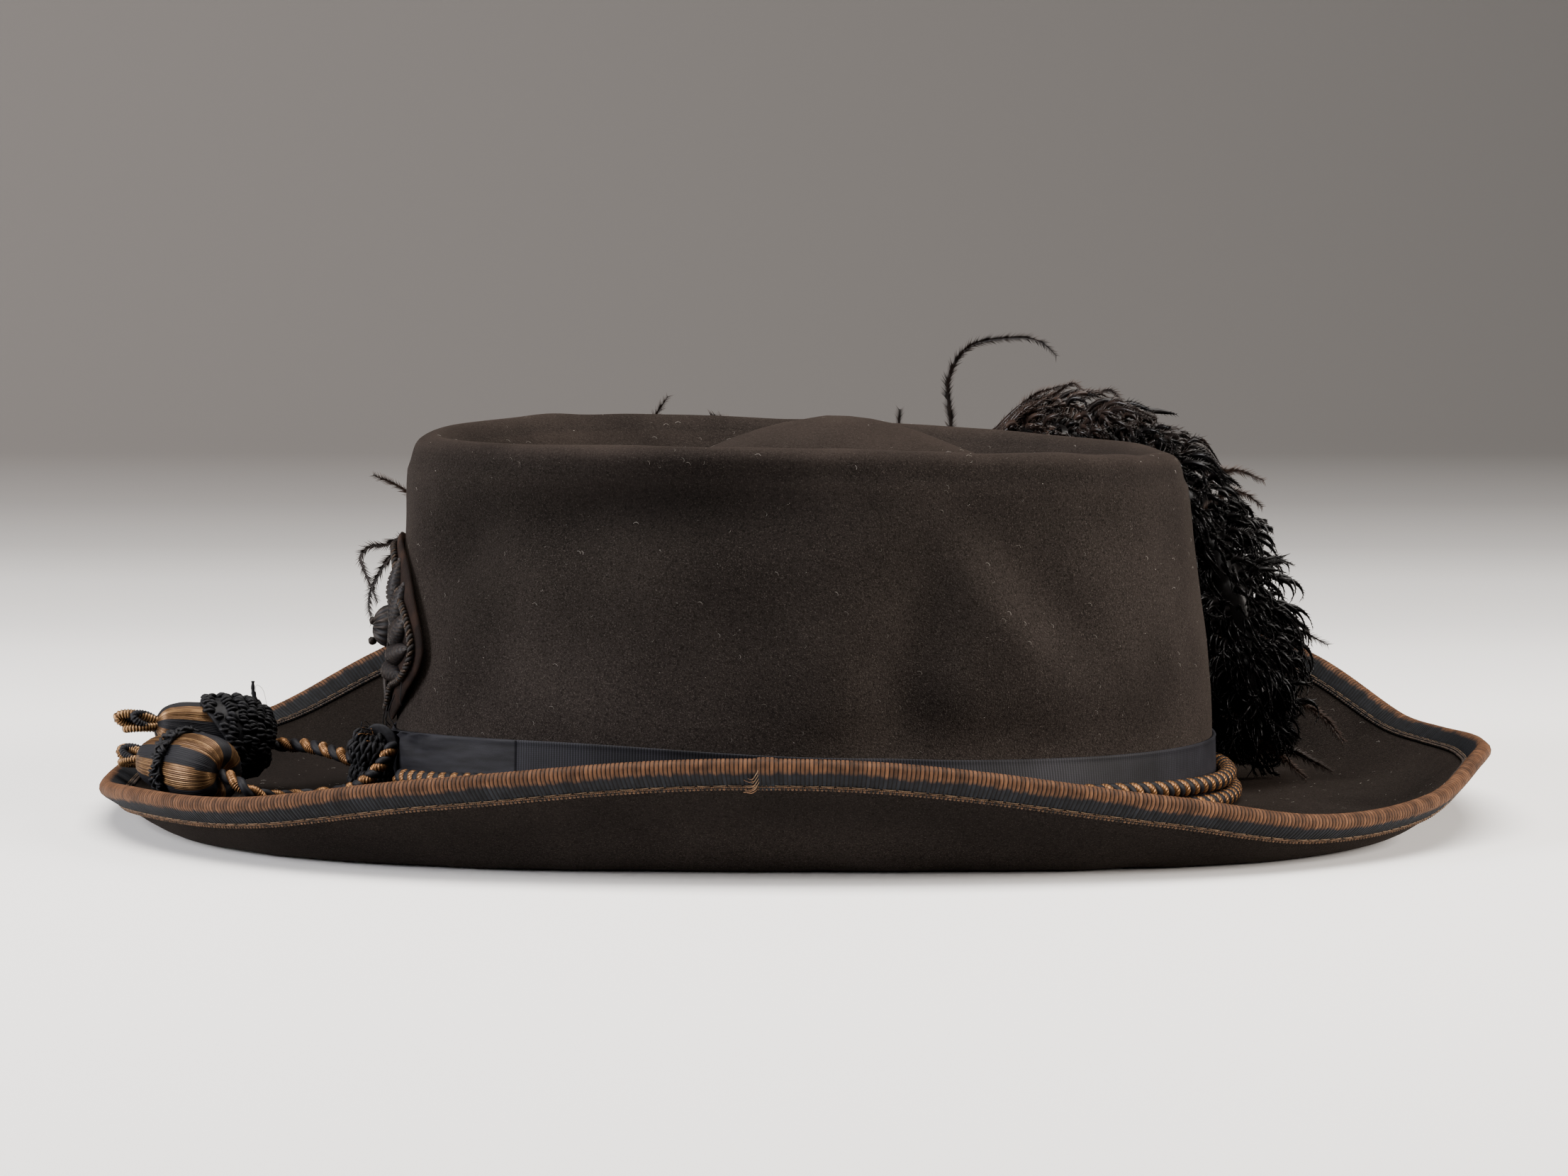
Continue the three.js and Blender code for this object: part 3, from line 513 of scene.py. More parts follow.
class CordRule(NodeRule):
    """Twisted cord along lines: a silk strand and a wire-wound one laid round each other.

    A point's value "pitch" is the length of one full twist.
    """

    STRANDS = 2
    SIDES = 10

    def __init__(self) -> None:
        """Builds the tree."""
        super().__init__("twisted_cord")
        names = ("Strand Radius", "Lay Radius", "Step", "Wire Spacing", "Wire Depth")
        strand_radius, lay_radius, step, wire, depth = self.inputs("Float", *names)
        (finish,) = self.inputs("Material", "Finish")
        even = self.stepped(self.lines(), step)
        length = self.add("GeometryNodeSplineParameter").outputs["Length"]
        normal = self.add("GeometryNodeInputNormal")
        side = self.vectors("CROSS_PRODUCT", self.add("GeometryNodeInputTangent"), normal)
        lays = self.math("DIVIDE", length, self.value("pitch"))
        turned = self.math("MULTIPLY", lays, 2 * math.pi)
        wire_turn = self.math("MULTIPLY", self.math("DIVIDE", length, wire), 2 * math.pi)
        swell = self.math("MULTIPLY_ADD", self.math("COSINE", wire_turn), depth, 1.0)
        section = self.circle(self.SIDES, strand_radius)
        strands = []
        for k in range(self.STRANDS):
            wound = k % 2 == 0
            phase = self.math("ADD", turned, 2 * math.pi * k / self.STRANDS)
            out = self.scaled(normal, self.math("COSINE", phase))
            over = self.scaled(side, self.math("SINE", phase))
            offset = self.scaled(self.vectors("ADD", out, over), lay_radius)
            curve = self.add("GeometryNodeSetPosition", {"Geometry": even, "Offset": offset})
            for name, value in (("gold", float(wound)), ("along", length)):
                sockets = {"Geometry": curve, "Name": name, "Value": value}
                curve = self.add("GeometryNodeStoreNamedAttribute", sockets)
            strands.append(self.skin(curve, section, swell if wound else 1.0))
        self.close(strands, finish)


class LaidRule(NodeRule):
    """Lays a small shape on each point, facing and running as the point's own values say."""

    def __init__(self) -> None:
        """Builds the tree."""
        super().__init__("laid_stitches")
        (shape,) = self.inputs("Object", "Shape")
        (finish,) = self.inputs("Material", "Finish")
        turn = self.aimed(self.value("face", "FLOAT_VECTOR"), self.value("run", "FLOAT_VECTOR"))
        stitch = self.add("GeometryNodeObjectInfo", {"Object": shape}).outputs["Geometry"]
        self.close([self.copies(self.entry.outputs[0], stitch, turn, self.value("size"))], finish)

    def lay(
        self,
        name: str,
        shape: bpy.types.Object,
        places: np.ndarray,
        face: np.ndarray,
        run: np.ndarray,
        finish: bpy.types.Material,
        shift: np.ndarray,
        size: np.ndarray | float = 1.0,
    ) -> bpy.types.Object:
        """Lays copies of a shape, which is used up.

        Args:
            name: the new piece's name.
            shape: a small mesh object about the origin, running along X and facing Z.
            places: points, in millimetres.
            face: the way that each one faces.
            run: the way that each one runs.
            finish: material of them all.
            shift: from the tables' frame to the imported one, in millimetres.
            size: scale of each one.

        Returns:
            The piece, as a plain mesh.
        """
        sizes = np.broadcast_to(size, len(places))
        obj = bare_mesh(name, places, [], shift, face=face, run=run, size=sizes)
        self.run(obj, Shape=shape, Finish=finish)
        bpy.data.objects.remove(shape)
        return obj


class BarbRule(NodeRule):
    """Feather barbs along lines: a flat tapered blade with two rows of barbules that lean towards its tip."""

    FLATNESS = 0.3
    SIDES = 4
    BARBULE_SIDES = 3
    # Power of the length by which blade and barbules shrink, and the change of each at the tip
    LATE = 3.0
    BLADE_LOSS = -0.85
    BARBULE_LOSS = -0.35
    RAGGED = (0.55, 1.15)
    SEED_STEP = 7.0

    def __init__(self) -> None:
        """Builds the tree."""
        super().__init__("feather_barbs")
        names = ("Stem Radius", "Spacing", "Barbule Length", "Barbule Radius", "Lean")
        stem, spacing, length, base, lean = self.inputs("Float", *names)
        radial, facing = self.inputs("Vector", "Radial", "Facing")
        (seed,) = self.inputs("Int", "Seed")
        (finish,) = self.inputs("Material", "Finish")
        tangent = self.add("GeometryNodeInputTangent")
        way = self.vectors("MULTIPLY_ADD", self.add("GeometryNodeInputPosition"), radial, facing)
        level = self.vectors("NORMALIZE", self.vectors("CROSS_PRODUCT", tangent, way))
        sockets = {"Curve": self.lines(), "Normal": level}
        line = self.add("GeometryNodeSetCurveNormal", sockets, mode="FREE")
        share = self.add("GeometryNodeSplineParameter").outputs["Factor"]
        late = self.math("POWER", share, self.LATE)
        sockets = {"Geometry": self.circle(self.SIDES, stem), "Scale": (1.0, self.FLATNESS, 1.0)}
        section = self.add("GeometryNodeTransform", sockets)
        parts = [self.skin(line, section, self.math("MULTIPLY_ADD", late, self.BLADE_LOSS, 1.0))]
        even = self.stepped(line, spacing)
        turn = self.aimed(tangent, self.add("GeometryNodeInputNormal"))
        sockets = {"Vertices": self.BARBULE_SIDES, "Radius Top": 0.0, "Radius Bottom": base, "Depth": length}
        blade = self.add("GeometryNodeMeshCone", sockets, fill_type="NGON")
        fade = self.math("MULTIPLY_ADD", late, self.BARBULE_LOSS, 1.0)
        for side, own_seed in ((-1.0, seed), (1.0, self.math("ADD", seed, self.SEED_STEP))):
            size = self.math("MULTIPLY", self.random(*self.RAGGED, own_seed), fade)
            leaned = self.spun(turn, "Y", self.math("MULTIPLY", lean, side))
            parts.append(self.copies(even, blade, leaned, size))
        self.close(parts, finish)


class LintRule(NodeRule):
    """Strews small bent fibres, or specks, over the outer side of the felt."""

    BEND = {"Resolution": 4, "Start": (-0.5, 0, 0.02), "Middle": (0.05, 0.55, 0.16), "End": (0.5, 0, 0.05)}
    SIDES = 3
    SIZES = (0.25, 1.0)
    SIZE_POWER = 2.0

    def __init__(self) -> None:
        """Builds the tree."""
        super().__init__("strewn_lint")
        density, length, thickness = self.inputs("Float", "Density", "Length", "Thickness")
        (seed,) = self.inputs("Int", "Seed")
        (finish,) = self.inputs("Material", "Finish")
        dense = self.math("MULTIPLY", self.value("outer"), density)
        sockets = {"Mesh": self.entry.outputs[0], "Density": dense, "Seed": seed}
        strewn = self.add("GeometryNodeDistributePointsOnFaces", sockets)
        bend = self.add("GeometryNodeCurveQuadraticBezier", self.BEND)
        fibre = self.skin(bend, self.circle(self.SIDES, 1.0), thickness)
        uneven = self.math("POWER", self.random(*self.SIZES, seed), self.SIZE_POWER)
        size = self.math("MULTIPLY", uneven, length)
        turned = self.spun(strewn.outputs["Rotation"], "Z", self.random(0.0, 2 * math.pi, seed))
        self.close([self.copies(strewn, fibre, turned, size)], finish)


@dataclass
class FinishKit:
    """Nodes that the finishes share, added to one material."""

    tree: bpy.types.NodeTree
    shader: bpy.types.Node

    def math(self, operation: str, *values: object) -> bpy.types.Node:
        """Adds an operation on numbers."""
        return add_node(self.tree, "ShaderNodeMath", values, operation=operation)

    def span(self, value: object, span: Span) -> bpy.types.Node:
        """Adds a value whose span is turned to another one and held at its ends."""
        return add_node(self.tree, "ShaderNodeMapRange", (value, *span))

    def noise(self, size_mm: float, detail: float = 3.0) -> bpy.types.Node:
        """Adds noise of about a size in the piece's own space."""
        where = add_node(self.tree, "ShaderNodeTexCoord").outputs["Object"]
        sockets = {"Vector": where, "Scale": per_metre(size_mm), "Detail": detail}
        return add_node(self.tree, "ShaderNodeTexNoise", sockets)

    def ribbon_noise(self, scale: tuple[float, float, float], detail: float = 3.0) -> bpy.types.Node:
        """Adds noise stretched along a ribbon."""
        stretched = add_node(self.tree, "ShaderNodeMapping", {"Vector": self.ribbon(), "Scale": scale})
        sockets = {"Vector": stretched, "Scale": 1.0, "Detail": detail}
        return add_node(self.tree, "ShaderNodeTexNoise", sockets)

    def ribbon(self) -> bpy.types.Node:
        """Adds the UV, which runs along and across a ribbon in millimetres."""
        return add_node(self.tree, "ShaderNodeUVMap", uv_map="UVMap")

    def split(self, vector: object) -> bpy.types.NodeOutputs:
        """Adds the parts of a vector."""
        return add_node(self.tree, "ShaderNodeSeparateXYZ", (vector,)).outputs

    def value(self, name: str) -> bpy.types.NodeSocket:
        """Adds a value that the points carry."""
        return add_node(self.tree, "ShaderNodeAttribute", attribute_name=name).outputs["Fac"]

    def wave(self, along: object, turns: float) -> bpy.types.Node:
        """Adds a cosine wave along a distance, by its radians for each unit."""
        return self.math("COSINE", self.math("MULTIPLY", along, turns))

    def mix(self, share: object, first: object, second: object) -> bpy.types.Node:
        """Adds a colour between two."""
        return add_node(self.tree, "ShaderNodeMixRGB", (share, first, second))

    def dimmed(self, colour: object, share: object) -> bpy.types.Node:
        """Adds a colour times a share."""
        return add_node(self.tree, "ShaderNodeMixRGB", (1.0, colour, share), blend_type="MULTIPLY")

    def bump(self, height: object, strength: object, depth_mm: float) -> bpy.types.Node:
        """Adds a relief."""
        sockets = {"Strength": strength, "Distance": depth_mm * MM, "Height": height}
        return add_node(self.tree, "ShaderNodeBump", sockets)

    def set(self, **inputs) -> None:
        """Sets or links inputs of the shader, with _ for a space."""
        for name, value in inputs.items():
            feed(self.tree, self.shader.inputs[name.replace("_", " ")], value)


@dataclass(frozen=True)
class Finish:
    """A finish, made once as a node material."""

    name: str

    def material(self) -> bpy.types.Material:
        """The finish as a material."""
        found = bpy.data.materials.get(self.name)
        if found is not None:
            return found
        material = bpy.data.materials.new(self.name)
        material.use_nodes = True
        tree = material.node_tree
        self.dress(FinishKit(tree, tree.nodes["Principled BSDF"]))
        return material

    def dress(self, kit: FinishKit) -> None:
        """Adds the nodes of the finish to a material."""
        raise NotImplementedError


@dataclass(frozen=True)
class FurFelt(Finish):
    """Brushed fur felt: matt, with a nap that glows a little at its edges and goes brown where rubbed.

    A point's value "wear" is how rubbed it is, and "shade" is painted shade that dims its colour.
    """

    name: str = "brushed_fur_felt"
    deep: str = "#1f1b19"
    body: str = "#2e2926"
    rubbed: str = "#4d433d"
    fleck: str = "#5c5550"
    glow: str = "#a48f80"
    patch_mm: float = 30.0
    grain_mm: float = 0.55
    fibre_mm: float = 0.26
    mottle: Span = (0.3, 0.7, 0.25, 1.0)
    flecks: Span = (0.56, 0.74, 0.0, 0.5)
    pits: Span = (0.3, 0.55, 0.45, 1.0)
    nap: tuple[float, float] = (0.55, 0.25)

    def dress(self, kit: FinishKit) -> None:
        """Mottled body, paler fibres, rubbed rims and a fine nap."""
        grain = kit.noise(self.grain_mm)
        fibres = kit.noise(self.fibre_mm, 1.0)
        mottle = kit.span(kit.noise(self.patch_mm), self.mottle)
        body = kit.mix(mottle, self.deep, self.body)
        flecked = kit.mix(kit.span(fibres, self.flecks), body, self.fleck)
        pitted = kit.dimmed(flecked, kit.span(grain, self.pits))
        worn = kit.mix(kit.math("MULTIPLY", kit.value("wear"), mottle), pitted, self.rubbed)
        kit.set(
            # Painted shade: the point value "shade" darkens the felt where it lies in shade.
            Base_Color=kit.dimmed(worn, kit.value("shade")),
            Normal=kit.bump(kit.math("ADD", grain, fibres), *self.nap),
            Roughness=0.95,
            Specular_IOR_Level=0.04,
            Sheen_Weight=0.05,
            Sheen_Roughness=0.4,
            Sheen_Tint=self.glow,
        )


@dataclass(frozen=True)
class BoundRibbon(Finish):
    """Ribbed silk ribbon folded over the edge: dyed blue-black, rubbed to copper-brown thread at the fold.

    The UV runs along the edge and across the fold in millimetres, below 0 over the brim's top.
    """

    name: str = "worn_ribbed_ribbon"
    dyed: str = "#17191d"
    worn: str = "#593d29"
    # Colour of the painted shade in the grooves between ribs
    groove_shade: str = "#0d0a09"
    rib_mm: float = 1.0
    fold_mm: float = 2.9
    fade_mm: tuple[float, float] = (0.5, -0.4)
    threads: float = 3.0
    soil_mm: float = 2.4
    rib_tones: Span = (0.0, 1.0, 0.62, 1.2)
    # Painted light on the fine threads and painted shade between them; painted shade in the grooves between
    # ribs
    lines: Span = (-1.0, 1.0, 1.08, 0.74)
    grooves: Span = (0.3, 0.9, 0.0, 0.95)
    soil: Span = (0.3, 0.7, 0.5, 1.25)
    weave: tuple[float, float] = (0.35, 0.06)

    # How the worn fold's edge wanders: stretch of the noise, swing in millimetres
    WANDER = (((0.035, 0.0, 1.0), 3.6), ((0.8, 0.2, 1.0), 2.2))

    def dress(self, kit: FinishKit) -> None:
        """Copper fold that fades unevenly into the dyed ribs, painted shade in the narrow grooves, and
        painted light and shade along the fine threads.
        """
        parts = kit.split(kit.ribbon())
        reach = kit.math("ABSOLUTE", parts["Y"])
        for scale, swing in self.WANDER:
            wander = kit.math("MULTIPLY_ADD", kit.ribbon_noise(scale), swing, -0.5 * swing)
            reach = kit.math("ADD", reach, wander)
        start, end = (self.fold_mm + shift for shift in self.fade_mm)
        silk = kit.mix(kit.span(reach, (start, end, 0.0, 1.0)), self.dyed, self.worn)
        number = kit.math("MULTIPLY", parts["X"], 1.0 / self.rib_mm)
        rib = kit.math("FLOOR", number)
        chance = add_node(kit.tree, "ShaderNodeTexWhiteNoise", {"W": rib}, noise_dimensions="1D")
        toned = kit.dimmed(silk, kit.span(chance, self.rib_tones))
        turn = kit.math("MULTIPLY", number, 2 * math.pi)
        # Painted light and shade along the threads, and painted shade in the grooves
        lines = kit.span(kit.wave(turn, self.threads), self.lines)
        dark = kit.span(kit.math("COSINE", turn), self.grooves)
        groove_shaded = kit.mix(dark, kit.dimmed(toned, lines), self.groove_shade)
        soil = kit.span(kit.noise(self.soil_mm, 4.0), self.soil)
        kit.set(
            Base_Color=kit.dimmed(groove_shaded, soil),
            Normal=kit.bump(lines, *self.weave),
            Roughness=0.65,
            Specular_IOR_Level=0.12,
        )


@dataclass(frozen=True)
class BandRibbon(Finish):
    """Fine ribbed silk ribbon: blue-black, with a low lustre. A point's value "plain" takes the ribs away."""

    name: str = "fine_ribbed_ribbon"
    dyed: str = "#18181c"
    faded: str = "#29292f"
    lapped: str = "#1a1a1e"
    rib_mm: float = 0.74
    bead_mm: float = 0.45
    cloud_mm: float = 14.0
    fading: Span = (0.35, 0.7, 0.0, 1.0)
    # Painted shade between the ribs and between the beads, and painted light and shade along the lapped end's
    # creases
    grooves: Span = (-0.4, 0.9, 1.1, 0.3)
    beads: Span = (-1.0, 1.0, 0.74, 1.12)
    creases: Span = (0.35, 0.65, 0.55, 1.5)
    crease_scale: tuple[float, float, float] = (0.07, 0.55, 1.0)
    thread_scale: tuple[float, float, float] = (5.0, 3.0, 1.0)
    weave: tuple[float, float] = (0.3, 0.1)

    def dress(self, kit: FinishKit) -> None:
        """Ribs across the ribbon, each a row of small beads of thread, with painted shade between the ribs
        and between the beads, faint fading, and painted light and shade along the creases of the lapped end.
        """
        parts = kit.split(kit.ribbon())
        ribs = kit.wave(parts["X"], 2 * math.pi / self.rib_mm)
        beads = kit.wave(parts["Y"], 2 * math.pi / self.bead_mm)
        fade = kit.span(kit.noise(self.cloud_mm, 4.0), self.fading)
        # Painted shade between the ribs and between the beads
        ribbed = kit.dimmed(kit.mix(fade, self.dyed, self.faded), kit.span(ribs, self.grooves))
        beaded = kit.dimmed(ribbed, kit.span(beads, self.beads))
        # Painted light and shade along the lapped end's creases
        lapped = kit.dimmed(self.lapped, kit.span(kit.ribbon_noise(self.crease_scale), self.creases))
        kit.set(
            Base_Color=kit.mix(kit.value("plain"), beaded, lapped),
            Normal=kit.bump(kit.ribbon_noise(self.thread_scale, 2.0), *self.weave),
            Roughness=0.6,
            Specular_IOR_Level=0.16,
        )


@dataclass(frozen=True)
class WoundThread(Finish):
    """Thread and cord: black silk, or brass-coloured wire wound on it, tarnished in the hollows.

    A point's value "gold" picks the wire, "tone" varies it and "along" runs down the strand in metres.
    """

    name: str = "wire_and_silk_thread"
    silk: str = "#131317"
    gold: str = "#8c6541"
    tarnish: str = "#3f2d1d"
    wire_mm: float = 0.5
    wire_depth: float = 0.6
    cloud_mm: float = 3.0
    tone_share: float = 0.6
    dulling: Span = (0.42, 0.95, 0.0, 1.0)
    hollow: tuple[float, float] = (-0.2, -1.0)
    metal: float = 0.55
    roughness: tuple[float, float] = (0.6, 0.4)
    relief_mm: float = 0.1

    def dress(self, kit: FinishKit) -> None:
        """Two threads in one finish, with the wire's turns as a fine bump."""
        gold = kit.value("gold")
        mixed = kit.math("MULTIPLY_ADD", kit.value("tone"), self.tone_share, kit.noise(self.cloud_mm))
        metal = kit.mix(kit.span(mixed, self.dulling), self.gold, self.tarnish)
        wave = kit.wave(kit.value("along"), 2 * math.pi / (self.wire_mm * MM))
        dark = kit.span(wave, (*self.hollow, 1.0, 1.0 - self.wire_depth))
        strength = kit.math("MULTIPLY", gold, self.wire_depth)
        kit.set(
            Base_Color=kit.mix(gold, self.silk, kit.dimmed(metal, dark)),
            Metallic=kit.math("MULTIPLY", gold, self.metal),
            Roughness=kit.span(gold, (0.0, 1.0, *self.roughness)),
            Normal=kit.bump(wave, strength, self.relief_mm),
            Specular_IOR_Level=0.18,
        )


@dataclass(frozen=True)
class PlainThread(Finish):
    """Plain spun thread or fibre: matt, a little uneven in colour."""

    name: str = "sewing_thread"
    colour: str = "#6e5f4c"
    dark: str = "#3a3128"
    uneven_mm: float = 2.0
    roughness: float = 0.75
    fuzz_mm: float = 0.25
    shades: Span = (0.35, 0.65, 0.0, 1.0)
    fuzz: tuple[float, float] = (0.5, 0.08)

    def dress(self, kit: FinishKit) -> None:
        """Uneven colour and a fuzzy bump."""
        shade = kit.span(kit.noise(self.uneven_mm), self.shades)
        kit.set(
            Base_Color=kit.mix(shade, self.dark, self.colour),
            Normal=kit.bump(kit.noise(self.fuzz_mm, 2.0), *self.fuzz),
            Roughness=self.roughness,
            Specular_IOR_Level=0.15,
            Sheen_Weight=0.02,
        )


@dataclass(frozen=True)
class Velvet(Finish):
    """Cotton velvet: a deep pile that is nearly black face-on and brown where it turns away."""

    name: str = "brown_velvet"
    pile: str = "#150f0d"
    crushed: str = "#2b1e18"
    glow: str = "#8a6a58"
    patch_mm: float = 7.0
    tuft_mm: float = 0.4
    crush: Span = (0.45, 0.75, 0.0, 1.0)
    nap: tuple[float, float] = (0.6, 0.2)

    def dress(self, kit: FinishKit) -> None:
        """Crushed patches in the pile."""
        crush = kit.span(kit.noise(self.patch_mm, 4.0), self.crush)
        kit.set(
            Base_Color=kit.mix(crush, self.pile, self.crushed),
            Normal=kit.bump(kit.noise(self.tuft_mm, 2.0), *self.nap),
            Roughness=0.9,
            Specular_IOR_Level=0.1,
            Sheen_Weight=0.15,
            Sheen_Roughness=0.3,
            Sheen_Tint=self.glow,
        )


@dataclass(frozen=True)
class Ostrich(Finish):
    """Dyed ostrich feather: horn-like, brown-black and glossy, with some barbs faded to brown."""

    name: str = "dyed_ostrich_barbs"
    dyed: str = "#070505"
    faded: str = "#3d2f28"
    cloud_mm: float = 4.0
    fading: Span = (0.04, 0.3, 0.0, 1.0)

    def dress(self, kit: FinishKit) -> None:
        """Each barb has its own tone."""
        mixed = kit.math("MULTIPLY", kit.noise(self.cloud_mm, 2.0), kit.value("tone"))
        barb = kit.mix(kit.span(mixed, self.fading), self.dyed, self.faded)
        kit.set(Base_Color=barb, Roughness=0.32, Specular_IOR_Level=0.26)


@dataclass(frozen=True)
class StudioPaper(Finish):
    """Seamless studio paper: matt, pale on the floor, with painted shade that greys it up the backdrop by a
    point's value "rise" and darkens it to the right.
    """

    name: str = "seamless_paper"
    floor: str = "#fbfaf8"
    # Painted shade of the backdrop: lighter at the left, darker at the right
    left: str = "#605d5b"
    right: str = "#484746"
    half_width: float = 0.4
    tooth_mm: float = 1.5
    tooth: tuple[float, float] = (0.05, 0.05)

    def dress(self, kit: FinishKit) -> None:
        """Paper graded by painted shade, with a faint tooth."""
        where = add_node(kit.tree, "ShaderNodeTexCoord").outputs["Object"]
        # Painted shade: darker to the right, and greying from the floor up the backdrop by "rise"
        across = kit.span(kit.split(where)["X"], (-self.half_width, self.half_width, 0.0, 1.0))
        wall = kit.mix(across, self.left, self.right)
        kit.set(
            Base_Color=kit.mix(kit.value("rise"), self.floor, wall),
            Normal=kit.bump(kit.noise(self.tooth_mm, 2.0), *self.tooth),
            Roughness=0.9,
            Specular_IOR_Level=0.1,
        )


# Brim round the hat: angle, lift of the edge, height of the belly, share where the roll starts, its sharpness
BRIM_SECTIONS: Table = (
    (0, 17, 2, 0.55, 2.2),
    (15, 15, 2, 0.5, 2.2),
    (25, 16.5, 1.5, 0.45, 2),
    (40, 29, 0.5, 0.38, 1.7),
    (60, 41, -0.7, 0.52, 1.25),
    (90, 47, -0.7, 0.52, 1.1),
    (118, 37, -0.7, 0.52, 1.25),
    (128, 27, 0, 0.38, 1.7),
    (142, 14.5, 0.5, 0.42, 2),
    (160, 11, 1, 0.5, 2.3),
    (180, 8.5, 0.6, 0.68, 1.9),
    (202, 12, -0.3, 0.79, 1.6),
    (223, 14.3, -0.4, 0.74, 1.8),
    (244, 22, -0.7, 0.6, 1.7),
    (270, 28, -0.7, 0.51, 1.35),
    (297, 18, -0.7, 0.62, 1.8),
    (313, 11.3, -0.4, 0.74, 1.8),
    (331, 12.3, 0, 0.74, 1.8),
    (345, 18.5, 1, 0.64, 2),
)
# Crown round the hat: angle, height of the rim, lean of the wall, swell of the wall
CROWN_SECTIONS: Table = (
    (0, 89, 7.4, 1.6),
    (45, 90, 6.4, 1.4),
    (90, 92.5, 5, 1),
    (135, 95, 4.4, 0.7),
    (180, 93.5, 4.2, 0.4),
    (225, 94.5, 4.4, 0.7),
    (270, 95, 5, 1),
    (315, 92, 6.4, 1.4),
)
# Crown over its rim and down inside: inset from the wall, drop below the rim
TIP_SECTIONS: Table = (
    (0.2, 6.5),
    (1.4, 2.2),
    (3.8, 0.3),
    (7.5, 0.2),
    (12.5, 3.4),
    (18.5, 9),
    (27, 13.5),
    (39, 15),
)
# Foot of the crown round the hat: angle, height of the brim's top there, height of the band's top above it
BREAK_SECTIONS: Table = (
    (0, 2.6, 16.6),
    (30, 3.2, 16.4),
    (60, 4.5, 16.2),
    (90, 6.3, 16.2),
    (120, 6.5, 16.2),
    (150, 5.2, 16.6),
    (180, 3.4, 17.4),
    (210, 5.4, 17.8),
    (240, 8.2, 16.4),
    (270, 7.6, 15.1),
    (300, 5.7, 15),
    (330, 3.5, 16.2),
)
# Dents in the crown's wall: angle, height, half span along, half span up, depth, tilt
DENTS: Table = (
    (213, 69, 17, 10, 4, 28),
    (236, 78, 26, 9, 5.2, 12),
    (261, 82, 24, 8.5, 4.4, 3),
    (285, 46, 27, 9, 4.6, 77),
    (298, 55, 20, 6, -1.8, -50),
    (306, 61, 20, 9, 3.4, -50),
    (298, 25, 30, 8, 2.6, 0),
    (312, 76, 14, 9, 2.2, 0),
    (219, 36, 8, 14, 1.6, -25),
    (62, 60, 22, 14, 2.4, 15),
    (112, 78, 26, 8, 3, -6),
)


